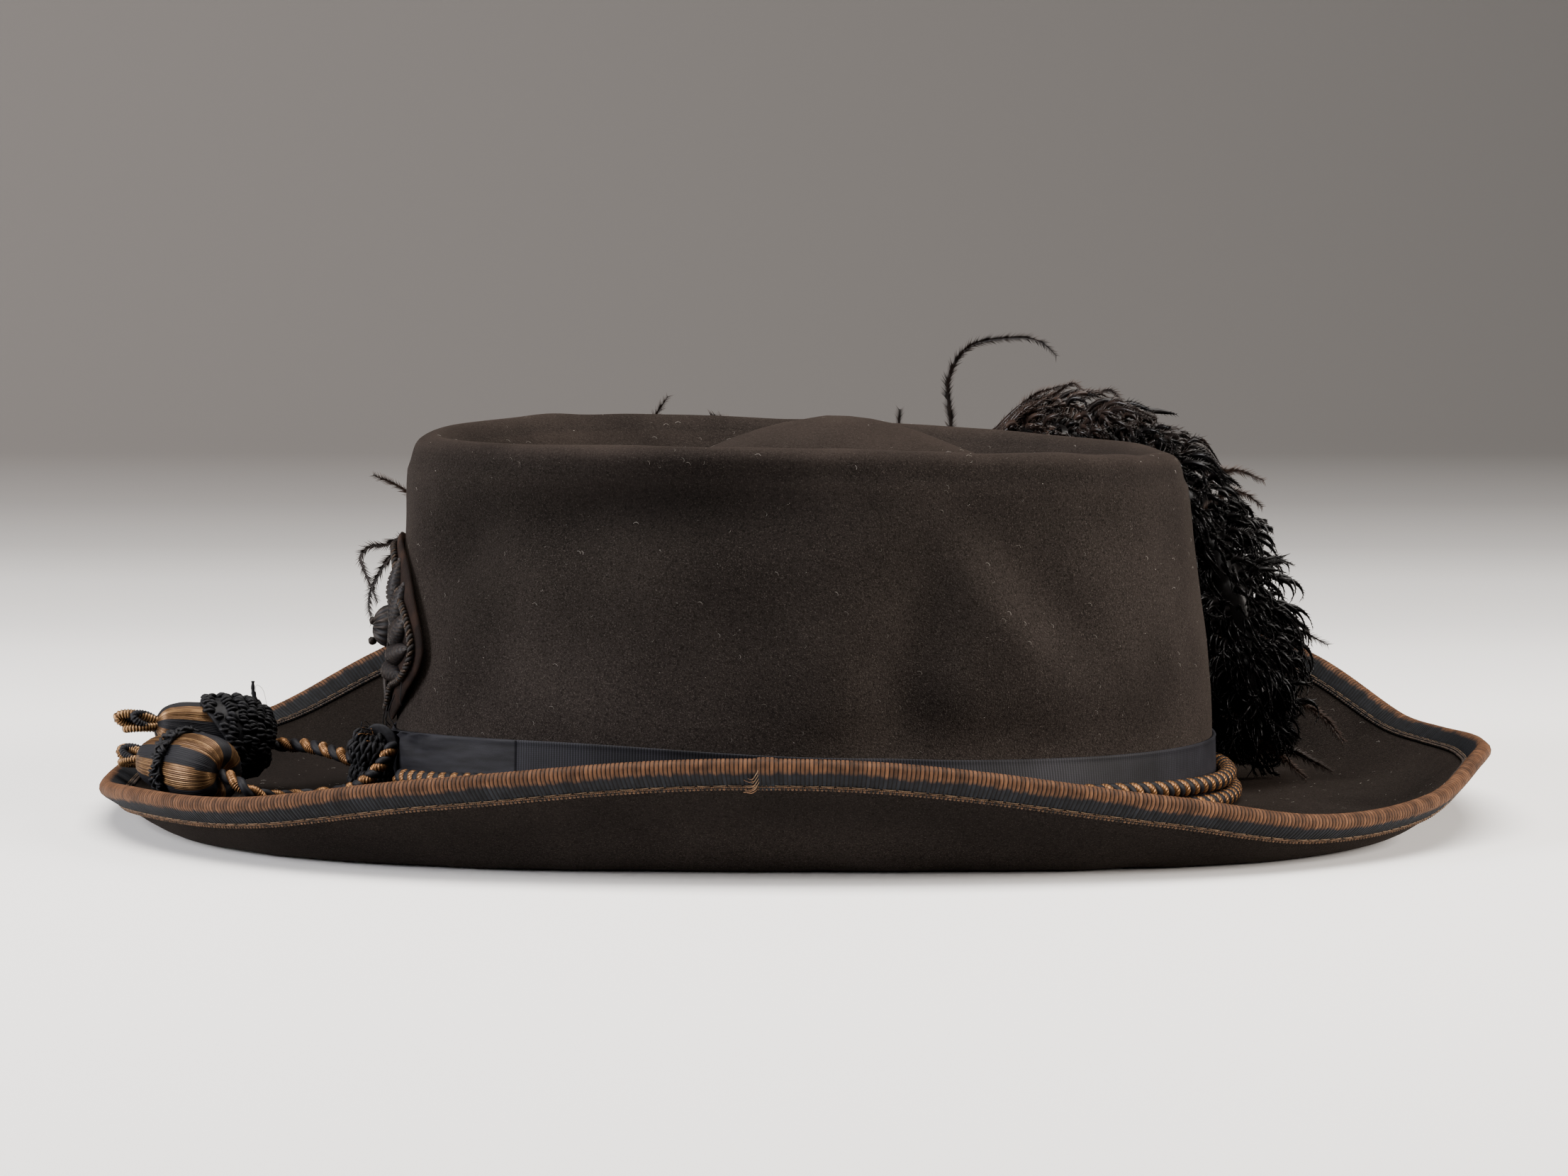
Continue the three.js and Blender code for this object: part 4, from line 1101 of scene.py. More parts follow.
@dataclass
class HatForm:
    """Blocked shape of the felt, which every other piece lies on or against."""

    shift: np.ndarray
    edge: tuple[float, float] = (169.4, 135.9)
    squareness: float = 2.3
    axis: tuple[float, float] = (2.4, 4.0)
    base: tuple[float, float] = (102.2, 83.2)
    felt: float = 2.2
    pressed: float = 1.6
    break_radius: float = 2.5
    belly_at: float = 0.45
    swell_at: float = 0.36
    swell_spread: float = 0.24
    peak: tuple[float, float, float, float, float] = (10.0, 2.0, 45.0, 27.0, 20.5)

    @staticmethod
    def around(table: Table, column: int, degrees: np.ndarray) -> np.ndarray:
        """Smooth values of a table's column at angles round the hat."""
        rows = np.asarray(table, float)
        count = len(rows)
        angle = np.mod(np.asarray(degrees, float), 360.0)
        first = np.searchsorted(rows[:, 0], angle, side="right") - 1
        knots = []
        for step in (-1, 0, 1, 2):
            turns = np.floor_divide(first + step, count)
            row = rows[first + step - turns * count]
            knots.append((row[..., 0] + 360.0 * turns, row[..., column]))
        (before_at, before), (low_at, low), (high_at, high), (after_at, after) = knots
        span = high_at - low_at
        start = (high - before) / (high_at - before_at) * span
        end = (after - low) / (after_at - low_at) * span
        return hermite(low, start, high, end, (angle - low_at) / span)

    def rim(self, degrees: np.ndarray) -> np.ndarray:
        """Height of the crown's rim."""
        return self.around(CROWN_SECTIONS, 1, degrees)

    def foot(self, degrees: np.ndarray) -> np.ndarray:
        """Height of the brim where it turns up into the crown."""
        return self.around(BREAK_SECTIONS, 1, degrees)

    def oval(self, degrees: np.ndarray, shrink: np.ndarray, out: np.ndarray) -> np.ndarray:
        """Points of the crown's oval, shrunk and pushed out along its normal, as X and Y."""
        t = np.radians(degrees)
        a, b = self.base[0] - shrink, self.base[1] - shrink
        normal = unit(np.stack(np.broadcast_arrays(np.cos(t) / a, np.sin(t) / b), axis=-1))
        plain = np.stack(np.broadcast_arrays(a * np.cos(t), b * np.sin(t)), axis=-1)
        return np.asarray(self.axis) + plain + normal * np.asarray(out)[..., None]

    def dent(self, degrees: np.ndarray, height: np.ndarray) -> np.ndarray:
        """How far the dents push the wall in."""
        arc = math.radians(1) * sum(self.base) / 2
        total = 0.0
        for at, level, along, up, depth, tilt in DENTS:
            turn = off_angle(degrees, at) * arc
            c, s = math.cos(math.radians(tilt)), math.sin(math.radians(tilt))
            a, u = turn * c + (height - level) * s, (height - level) * c - turn * s
            total = total + depth * np.exp(-((a / along) ** 2) - (u / up) ** 2)
        return total

    def wall(self, degrees: np.ndarray, height: np.ndarray, off: np.ndarray | float = 0.0) -> np.ndarray:
        """Points of the crown's wall at heights, stood off by a distance."""
        degrees, height, off = np.broadcast_arrays(*(np.asarray(v, float) for v in (degrees, height, off)))
        foot = self.foot(degrees)
        share = (height - foot) / (self.rim(degrees) - foot)
        swell = self.around(CROWN_SECTIONS, 3, degrees)
        swell = swell * np.exp(-(((share - self.swell_at) / self.swell_spread) ** 2))
        lean = self.around(CROWN_SECTIONS, 2, degrees) * share
        return lifted(self.oval(degrees, lean, off + swell - self.dent(degrees, height)), height)

    def brim(self, degrees: np.ndarray, share: np.ndarray) -> np.ndarray:
        """Points of the brim's top, from 0 at the break to 1 at the edge."""
        degrees, share = np.broadcast_arrays(np.asarray(degrees, float), np.asarray(share, float))
        t = np.radians(degrees)
        start = self.oval(degrees, 0.0, np.full(degrees.shape, self.break_radius))
        bent = [np.sign(v) * np.abs(v) ** (2 / self.squareness) for v in (np.cos(t), np.sin(t))]
        edge = np.stack([self.edge[0] * bent[0], self.edge[1] * bent[1]], axis=-1)
        flat = start + (edge - start) * share[..., None]
        lift, belly, turn, curl = (self.around(BRIM_SECTIONS, k, degrees) for k in (1, 2, 3, 4))
        belly = belly + self.felt
        sink = 1.0 - smoothstep(share, 0.0, self.belly_at)
        rise = np.maximum(0.0, (share - turn) / (1.0 - turn)) ** curl
        height = belly + (self.foot(degrees) - belly) * sink + (lift - belly) * rise
        return lifted(flat, np.maximum(height, self.pressed))

    def share_from_edge(self, degrees: np.ndarray, distance: float) -> np.ndarray:
        """Share of the brim's width at a distance in from the edge."""
        inner, near, outer = (self.brim(degrees, s) for s in (0.0, 0.9, 1.0))
        width = np.linalg.norm((outer - inner)[..., :2], axis=-1)
        slope = (outer - near)[..., 2] / (0.1 * width)
        return 1.0 - distance / (width * np.hypot(1.0, slope))

    def tip(self, degrees: np.ndarray, inset: float, drop: float, ring: float = 1.0) -> np.ndarray:
        """Points of the crown's rim and of the tip that is pushed down inside it."""
        share = drop / TIP_SECTIONS[-1][1]
        rim = self.rim(degrees)
        rim = rim + (np.mean([row[1] for row in CROWN_SECTIONS]) - rim) * share * (inset > TIP_SECTIONS[2][0])
        fade = float(smoothstep(drop, 0.3, TIP_SECTIONS[0][1])) * (inset < TIP_SECTIONS[3][0])
        dent = self.dent(degrees, rim - drop) * fade
        flat = self.oval(degrees, self.around(CROWN_SECTIONS, 2, degrees) + inset, -dent)
        flat = np.asarray(self.axis) + (flat - np.asarray(self.axis)) * ring
        x, y, length, width, rise = self.peak
        away = ((flat[..., 0] - x) / length) ** 2 + ((flat[..., 1] - y) / width) ** 2
        bump = share * rise * np.exp(-away)
        return lifted(flat, rim - drop + bump * (inset > TIP_SECTIONS[2][0]))

    def clear(self, points: np.ndarray, margin: float) -> np.ndarray:
        """Moves points out of the crown and up off the brim.

        Args:
            points: any points near the hat's outside.
            margin: the least distance from the felt.

        Returns:
            The points, each at least about that far from the felt.
        """
        points = points.copy()
        middle = np.asarray(self.axis)
        offset = points[:, :2] - middle
        degrees = np.degrees(np.arctan2(offset[:, 1] / self.base[1], offset[:, 0] / self.base[0]))
        level = np.clip(points[:, 2], self.foot(degrees), self.rim(degrees) - 1.0)
        wall = self.wall(degrees, level, margin)[:, :2] - middle
        grown = np.linalg.norm(wall, axis=1) / np.maximum(np.linalg.norm(offset, axis=1), 1e-6)
        inside = (grown > 1.0) & (points[:, 2] < self.rim(degrees) + margin)
        points[inside, :2] = middle + offset[inside] * grown[inside, None]
        start, end = self.brim(degrees, 0.0), self.brim(degrees, 1.0)
        reach = (end - start)[:, :2]
        share = np.sum((points[:, :2] - start[:, :2]) * reach, axis=1) / np.sum(reach**2, axis=1)
        floor = self.brim(degrees, np.clip(share, 0.0, 1.0))[:, 2] + margin
        points[:, 2] = np.where(share < 1.02, np.maximum(points[:, 2], floor), points[:, 2])
        return points


def sheet_normals(rows: np.ndarray) -> np.ndarray:
    """Outward normals of rows of points that go round the hat, from the brim's edge inwards."""
    round_way = np.roll(rows, -1, axis=1) - np.roll(rows, 1, axis=1)
    inwards = np.gradient(rows, axis=0)
    return unit(np.cross(round_way, inwards))


@dataclass
class FeltBody:
    """Crown and brim, blocked from one felt, with the small unevenness of worn felt."""

    form: HatForm
    round_steps: int = 260
    brim_rows: int = 34
    fold_rows: int = 5
    wall_rows: int = 40
    tip_rows: int = 30
    ring_rows: int = 9
    relief: float = 0.22
    relief_waves: int = 14
    relief_lengths: tuple[float, float] = (13.0, 42.0)
    relief_heights: tuple[float, float] = (25.0, 34.0)
    seed: int = 5
    # Painted shade, as shares of the felt's colour: over the brim's top and its swing from back to front,
    # under the brim away from its edge and at its edge, on the tip, and at the tip's two middle points
    top_painted_shade: tuple[float, float] = (0.46, 0.14)
    under_painted_shade: tuple[float, float] = (1.15, 0.42)
    tip_painted_shade: float = 0.55
    end_painted_shades: tuple[float, float] = (0.8, 1.0)
    brim_wear_from: float = 0.75
    wall_wear_from: float = 0.9
    wall_wear: float = 0.8
    crest_drop: float = 2.6
    crest_wear: float = 0.3
    peak_from: float = 80.0
    peak_span: float = 12.0
    peak_inset: float = 12.0
    ring_wear: float = 0.4

    # Painted shade of the wall, darker towards its top: height, share of its colour that it keeps
    WALL_PAINTED_SHADE: Table = ((20, 1.05), (40, 0.9), (60, 0.72), (80, 0.64))
    # Darker and paler patches of the wall, painted shade and painted light: angle, height, spans of both,
    # change
    PAINTED_PATCHES: Table = (
        (250, 82, 20, 9, -0.5),
        (214, 62, 10, 24, -0.2),
        (325, 32, 10, 14, -0.3),
        (246, 34, 18, 10, 0.3),
        (322, 66, 14, 18, 0.2),
    )

    def degrees(self) -> np.ndarray:
        """Angles of the points in a row."""
        return np.arange(self.round_steps) * 360.0 / self.round_steps

    def raised(self, row: np.ndarray) -> np.ndarray:
        """How far points stand up on the tip's peak, from 0 to 1."""
        return np.clip((row[:, 2] - self.peak_from) / self.peak_span, 0.0, 1.0)

    def outer_rows(self) -> tuple[np.ndarray, np.ndarray]:
        """Rows of the outer side, from the brim's edge to the tip, and how rubbed each point is."""
        form = self.form
        degrees = self.degrees()
        shares = np.linspace(1.0, 0.0, self.brim_rows)
        rows = [form.brim(degrees, s) for s in shares]
        wear = [np.full(degrees.shape, max(0.0, s - self.brim_wear_from)) for s in shares]
        for t in np.linspace(0, math.pi / 2, self.fold_rows + 2)[1:-1]:
            out, up = form.break_radius * (1 - math.sin(t)), form.break_radius * (1 - math.cos(t))
            flat = form.oval(degrees, 0.0, np.full(degrees.shape, out))
            rows.append(lifted(flat, form.foot(degrees) + up))
            wear.append(np.zeros(degrees.shape))
        foot = form.foot(degrees) + form.break_radius
        top = form.rim(degrees) - TIP_SECTIONS[0][1]
        for s in np.linspace(0, 1, self.wall_rows, endpoint=False):
            rows.append(form.wall(degrees, foot + (top - foot) * s))
            wear.append(np.full(degrees.shape, self.wall_wear * max(0.0, s - self.wall_wear_from)))
        places = np.linspace(0, len(TIP_SECTIONS) - 1, self.tip_rows)
        for inset, drop in spline(TIP_SECTIONS, places):
            row = form.tip(degrees, inset, drop)
            rows.append(row)
            crest = math.exp(-((drop / self.crest_drop) ** 2))
            raised = self.raised(row) * self.crest_wear
            wear.append(np.maximum(crest * self.crest_wear, raised * (inset > self.peak_inset)))
        for ring in np.linspace(1, 0, self.ring_rows + 1, endpoint=False)[1:]:
            row = form.tip(degrees, *TIP_SECTIONS[-1], ring)
            rows.append(row)
            wear.append(self.raised(row) * self.ring_wear)
        return np.stack(rows), np.stack(wear)

    def uneven(self, rows: np.ndarray) -> np.ndarray:
        """Small swells and hollows of handled felt, fading out under the ribbons."""
        draw = np.random.default_rng(self.seed)
        ways = unit(draw.normal(size=(self.relief_waves, 3)))
        lengths = draw.uniform(*self.relief_lengths, self.relief_waves)
        phases = draw.uniform(0, 2 * math.pi, self.relief_waves)
        waves = np.sin(rows @ (ways * (2 * math.pi / lengths)[:, None]).T + phases).mean(axis=-1)
        index = np.arange(len(rows))[:, None]
        on_brim = smoothstep(index, 5, 11) * (1 - smoothstep(index, self.brim_rows - 6, self.brim_rows - 2))
        on_crown = smoothstep(rows[..., 2], *self.relief_heights) * (index > self.brim_rows)
        return waves * math.sqrt(self.relief_waves) * self.relief * (on_brim + on_crown)

    def shades(self, rows: np.ndarray) -> tuple[np.ndarray, np.ndarray]:
        """Painted shade: how much of its colour the felt keeps, with the brim and the tip darker than the
        wall.

        Args:
            rows: points of the outer side.

        Returns:
            Shares on the outer and on the inner side.
        """
        degrees = self.degrees()
        height = rows[..., 2]
        index = np.arange(len(rows))[:, None]
        crown = np.interp(height, *np.transpose(self.WALL_PAINTED_SHADE))
        for at, level, span, depth, change in self.PAINTED_PATCHES:
            away = off_angle(degrees, at) / span
            crown = crown * (1.0 + change * np.exp(-(away**2) - ((height - level) / depth) ** 2))
        wall_start = self.brim_rows + self.fold_rows
        tip = smoothstep(index, wall_start + self.wall_rows - 3, wall_start + self.wall_rows + 4)
        crown = crown + (self.tip_painted_shade - crown) * tip
        brim = self.top_painted_shade[0] + self.top_painted_shade[1] * np.cos(np.radians(degrees))
        over = brim + (crown - brim) * smoothstep(index, self.brim_rows - 2, wall_start)
        edge = 1.0 - smoothstep(index, 4, 0.4 * self.brim_rows)
        under = self.under_painted_shade[0] + (self.under_painted_shade[1] - self.under_painted_shade[0]) * edge
        return over, np.broadcast_to(under, height.shape)

    def build(self) -> bpy.types.Object:
        """Outer and inner skins, joined under the binding."""
        rows, wear = self.outer_rows()
        rows = rows + sheet_normals(rows) * self.uneven(rows)[..., None]
        rows[..., 2] = np.maximum(rows[..., 2], self.form.pressed)
        inner = rows - sheet_normals(rows) * self.form.felt
        inner[..., 2] = np.maximum(inner[..., 2], 0.0)
        size = rows[..., 0].size
        outer = np.concatenate([np.zeros(size), np.ones(size), [0.0, 1.0]])
        rubbed = np.concatenate([np.zeros(size), wear.ravel(), [0.0, wear[-1].mean()]])
        # Painted shade of both sides, carried as the point value "shade"
        over, under = self.shades(rows)
        shade = np.concatenate([under[::-1].ravel(), over.ravel(), self.end_painted_shades])
        work = Patchwork()
        work.add(*closed_rows(np.concatenate([inner[::-1], rows])), outer=outer, wear=rubbed, shade=shade)
        return work.piece("felt_body_felt", FurFelt().material(), self.form.shift)


@dataclass
class BrimBinding:
    """Ribbed ribbon folded over the brim's edge, with knotted selvages and a row of stitches each side."""

    form: HatForm
    rib: float = 1.0
    rib_rise: float = 0.16
    fold_rise: float = 0.8
    fold_half: float = 2.9
    stitch_at: float = 4.05
    stitch_step: float = 3.6
    seam: tuple[float, float] = (268.1, 269.3)
    seam_rise: float = 0.3
    seam_ramp: float = 0.25
    table_gap: float = 0.02
    edge_samples: int = 7201

    # Places of the points in a rib, and how far each stands up
    RIB_PLACES = (0.0, 0.2, 0.8)
    RIB_WAVE = (-1.0, 0.5, 0.5)
    # From the selvage to the fold: distance in from the edge, height over the felt, share of the ribs' rise
    LEG: Table = (
        (5.6, 0.06, 0.0),
        (5.5, 0.4, 0.4),
        (4.9, 0.5, 0.6),
        (4.3, 0.36, 0.2),
        (4.0, 0.5, 0.8),
        (2.9, 0.62, 1.0),
        (1.7, 0.7, 1.1),
        (0.6, 0.78, 1.2),
    )
    FOLD_TURNS = (70.0, 42.0, 14.0, -14.0, -42.0, -70.0)
    LINING: Table = ((5.45, 0.03), (0.6, 0.03))
    # Knots of the selvage: distance in from the edge, height over the felt, spacing, radius
    KNOTS: Table = ((4.5, 0.56, 0.5, 0.3), (5.2, 0.52, 1.0, 0.4))
    # One stitch and one knot, running along X
    STITCH: Table = ((-1.7, 0, -0.35), (-1.3, 0, 0.0), (0, 0, 0.08), (1.3, 0, 0.0), (1.7, 0, -0.35))
    KNOT: Table = ((-0.8, 0, 0), (0, 0, 0.1), (0.8, 0, 0))
    KNOT_RADII = (0.45, 1.0, 0.45)
    # Distances in from the edge of the loose threads at the seam
    TORN = (1.0, 2.2, 3.1, 3.9, 4.6, 5.2)

    def along_edge(self, step: float, places: Sequence[float] = (0.0,)) -> np.ndarray:
        """Angles at places in each of the even steps that go round the edge."""
        dense = np.linspace(0.0, 360.0, self.edge_samples)
        run = run_along(self.form.brim(dense, 1.0))
        count = int(round(run[-1] / step))
        wanted = (np.arange(count)[:, None] + np.asarray(places)).ravel() / count
        return np.interp(wanted * run[-1], run, dense)

    def leg(
        self, degrees: np.ndarray, inset: float, height: np.ndarray, side: float
    ) -> tuple[np.ndarray, np.ndarray, np.ndarray]:
        """Points over the felt at a distance in from the edge.

        Args:
            degrees: angles round the hat.
            inset: distance in from the edge.
            height: distance off the felt.
            side: 1 over the brim's top and -1 under it.

        Returns:
            The points, the way that they face and the way round the edge.
        """
        form = self.form
        share = form.share_from_edge(degrees, inset)
        top = form.brim(degrees, share)
        outwards = form.brim(degrees, np.minimum(share + 0.02, 1.0)) - form.brim(degrees, share - 0.02)
        round_way = form.brim(degrees + 0.2, share) - form.brim(degrees - 0.2, share)
        normal = unit(np.cross(outwards, round_way))
        off = height if side > 0 else -form.felt - height
        points = top + normal * np.asarray(off)[..., None]
        points[..., 2] = np.maximum(points[..., 2], self.table_gap)
        return points, normal * side, unit(round_way)

    def build(self) -> bpy.types.Object:
        """The ribbon, rib by rib."""
        form = self.form
        degrees = self.along_edge(self.rib, self.RIB_PLACES)
        count = len(degrees)
        rib_count = count // len(self.RIB_PLACES)
        ribs = np.tile(self.RIB_WAVE, rib_count) * self.rib_rise
        lapped = smoothstep(degrees, self.seam[0], self.seam[0] + self.seam_ramp)
        lapped = lapped * (1 - smoothstep(degrees, self.seam[1] - self.seam_ramp, self.seam[1]))
        lapped = lapped * self.seam_rise
        ones = np.ones(count)
        columns, across = [], []
        for side in (1.0, -1.0):
            legs = []
            for inset, height, share in self.LEG:
                rise = height + share * ribs + lapped * min(1.0, height * 2)
                legs.append((self.leg(degrees, inset, rise, side)[0], -side * (self.fold_half + inset)))
            if side < 0:
                edge = self.leg(degrees, 0.0, -form.felt / 2 * ones, 1.0)[0]
                inner_normal, round_way = self.leg(degrees, 0.4, ones, 1.0)[1:]
                outwards = unit(np.cross(round_way, inner_normal))
                radius = (form.felt / 2 + self.fold_rise + 1.2 * ribs + lapped)[:, None]
                for turn in self.FOLD_TURNS:
                    t = math.radians(turn)
                    columns.append(edge + radius * (math.sin(t) * inner_normal + math.cos(t) * outwards))
                    across.append(-turn / 90.0 * self.fold_half)
                legs.reverse()
            for points, place in legs:
                columns.append(points)
                across.append(place)
        for side in (-1.0, 1.0):
            lining = self.LINING if side < 0 else self.LINING[::-1]
            for inset, height in lining:
                columns.append(self.leg(degrees, inset, height * ones, side)[0])
                across.append(-side * (self.fold_half + inset))
        sheet = np.stack(columns, axis=1)
        along = np.append((np.arange(rib_count)[:, None] + self.RIB_PLACES).ravel(), rib_count) * self.rib
        work = Patchwork()
        quads = sheet_quads(count, len(columns), round_rows=True, round_columns=True)
        uv = sheet_uv(along, np.asarray([*across, across[0]]))
        work.add(sheet.reshape(-1, 3), quads, uv=uv)
        return work.piece("brim_binding_ribbon", BoundRibbon(rib_mm=self.rib).material(), form.shift)

    def build_stitches(self, laid: LaidRule) -> bpy.types.Object:
        """Running stitches near both selvages, and the seam where the ribbon's ends lap."""
        chosen = self.along_edge(self.stitch_step)
        rows = [self.leg(chosen, self.stitch_at, np.full(len(chosen), 0.62), side) for side in (1.0, -1.0)]
        places, faces, runs = (np.concatenate([row[i] for row in rows]) for i in range(3))
        for inset in np.arange(0.6, 4.0, 1.1):
            place, face, run = self.leg(np.array([self.seam[0]]), inset, np.array([1.2]), -1.0)
            places, faces = np.concatenate([places, place]), np.concatenate([faces, face])
            runs = np.concatenate([runs, np.cross(face, run) + 0.5 * run])
        shape = Patchwork()
        shape.add(*tube(self.STITCH, 0.11, 5))
        stitch = shape.piece("stitch_shape", None, np.zeros(3))
        thread = PlainThread("binding_stitch_thread", "#6f5c48", "#3d3228").material()
        name = "brim_binding_stitches"
        return laid.lay(name, stitch, places, faces, runs, thread, self.form.shift)

    def build_knots(self, laid: LaidRule, name: str, side: float, thread: PlainThread) -> bpy.types.Object:
        """Two rows of small knots along one selvage.

        Args:
            laid: the rule that lays them.
            name: the piece's name.
            side: 1 over the brim's top and -1 under it.
            thread: their finish.

        Returns:
            The piece.
        """
        rows, sizes = [], []
        for inset, height, step, radius in self.KNOTS:
            degrees = self.along_edge(step)
            rows.append(self.leg(degrees, inset, np.full(len(degrees), height), side))
            sizes.append(np.full(len(degrees), radius))
        places, faces, runs = (np.concatenate([row[i] for row in rows]) for i in range(3))
        shape = Patchwork()
        shape.add(*tube(self.KNOT, self.KNOT_RADII, 5))
        knot = shape.piece("knot_shape", None, np.zeros(3))
        slanted = runs + 0.35 * np.cross(faces, runs)
        size = np.concatenate(sizes)
        return laid.lay(name, knot, places, faces, slanted, thread.material(), self.form.shift, size)

    def build_torn_threads(self) -> bpy.types.Object:
        """Loose thread ends where the ribbon's ends lap."""
        draw = np.random.default_rng(23)
        work = Patchwork()
        for inset in self.TORN:
            spot = self.leg(np.array([self.seam[0]]), inset, np.array([1.0]), -1.0)
            place, face, run = (part[0] for part in spot)
            way = unit(-run + draw.normal(0, 0.5, 3))
            length = draw.uniform(1.4, 3.2)
            middle = place + way * length * 0.5 + face * 0.8
            end = place + way * length + face * draw.uniform(0, 0.8)
            work.add(*tube(even_curve([place, middle, end], 7), 0.09, 4))
        thread = PlainThread("torn_ribbon_thread", "#8c6a4e", "#4b382b")
        return work.piece("brim_binding_torn_threads", thread.material(), self.form.shift)


@dataclass
class RibbonBand:
    """Fine ribbed ribbon round the foot of the crown. Its lapped end is plain and gathered into the slide."""

    form: HatForm
    rib: float = 0.74
    rib_rise: float = 0.05
    rise: float = 16.2
    middle: float = 9.4
    lap: tuple[float, float] = (189.0, 228.0)
    lap_rise: float = 0.35
    lap_ramp: float = 0.4
    face_off: float = 0.5
    gather_end: float = 217.0
    pleat: float = 1.0

    # Section from its foot over its face and back inside: height over the crown's foot, distance off
    # the felt, share of the ribs' rise
    SECTION: Table = (
        (2.6, 0.1, 0),
        (2.55, 0.6, 0.4),
        (3.2, 0.82, 1),
        (4.8, 0.85, 1),
        (6.4, 0.85, 1),
        (8.0, 0.85, 1),
        (9.6, 0.85, 1),
        (11.2, 0.85, 1),
        (12.8, 0.85, 1),
        (14.4, 0.85, 1),
        (15.4, 0.85, 1),
        (15.9, 1.0, 0.5),
        (16.2, 0.85, 0.3),
        (16.1, 0.1, 0),
        (9, 0.06, 0),
    )

    def build(self) -> bpy.types.Object:
        """The band, rib by rib."""
        form = self.form
        dense = np.linspace(0.0, 360.0, 3601)
        run = run_along(form.wall(dense, form.foot(dense) + self.middle))
        ribs = int(round(run[-1] / self.rib))
        count = 3 * ribs
        degrees = np.interp(np.arange(count) / count * run[-1], run, dense)
        lapped = smoothstep(degrees, self.lap[0], self.lap[0] + self.lap_ramp)
        lapped = lapped * (1.0 - smoothstep(degrees, self.lap[1] - self.lap_ramp, self.lap[1]))
        wave = np.tile([-1.0, 0.5, 0.5], ribs) * self.rib_rise * (1.0 - lapped)
        near = np.clip((degrees - self.lap[0]) / (self.gather_end - self.lap[0]), 0.0, 1.0)
        slack = (1.0 - near) ** 1.2 * lapped * self.pleat
        start = self.SECTION[0][0]
        stretch = (form.around(BREAK_SECTIONS, 2, degrees) - start) / (self.rise - start)
        columns = []
        for height, off, share in self.SECTION:
            fan = (height - self.middle) / ((self.rise - self.middle) * (0.25 + 0.75 * near))
            outer = off > self.face_off
            fold = slack * (1.0 + np.cos(4.0 * math.pi * fan)) * outer
            level = form.foot(degrees) + start + (height - start) * stretch
            stand = off + wave * share + fold + self.lap_rise * lapped * outer
            columns.append(form.wall(degrees, level, stand))
        sheet = np.stack(columns, axis=1)
        places = np.asarray([row[0] for row in self.SECTION])
        uv = sheet_uv(np.arange(count + 1) / 3.0 * self.rib, np.append(places, places[0]))
        work = Patchwork()
        quads = sheet_quads(count, len(columns), round_rows=True, round_columns=True)
        work.add(sheet.reshape(-1, 3), quads, uv=uv, plain=np.repeat(lapped, len(columns)))
        return work.piece("ribbon_band_ribbon", BandRibbon(rib_mm=self.rib).material(), form.shift)


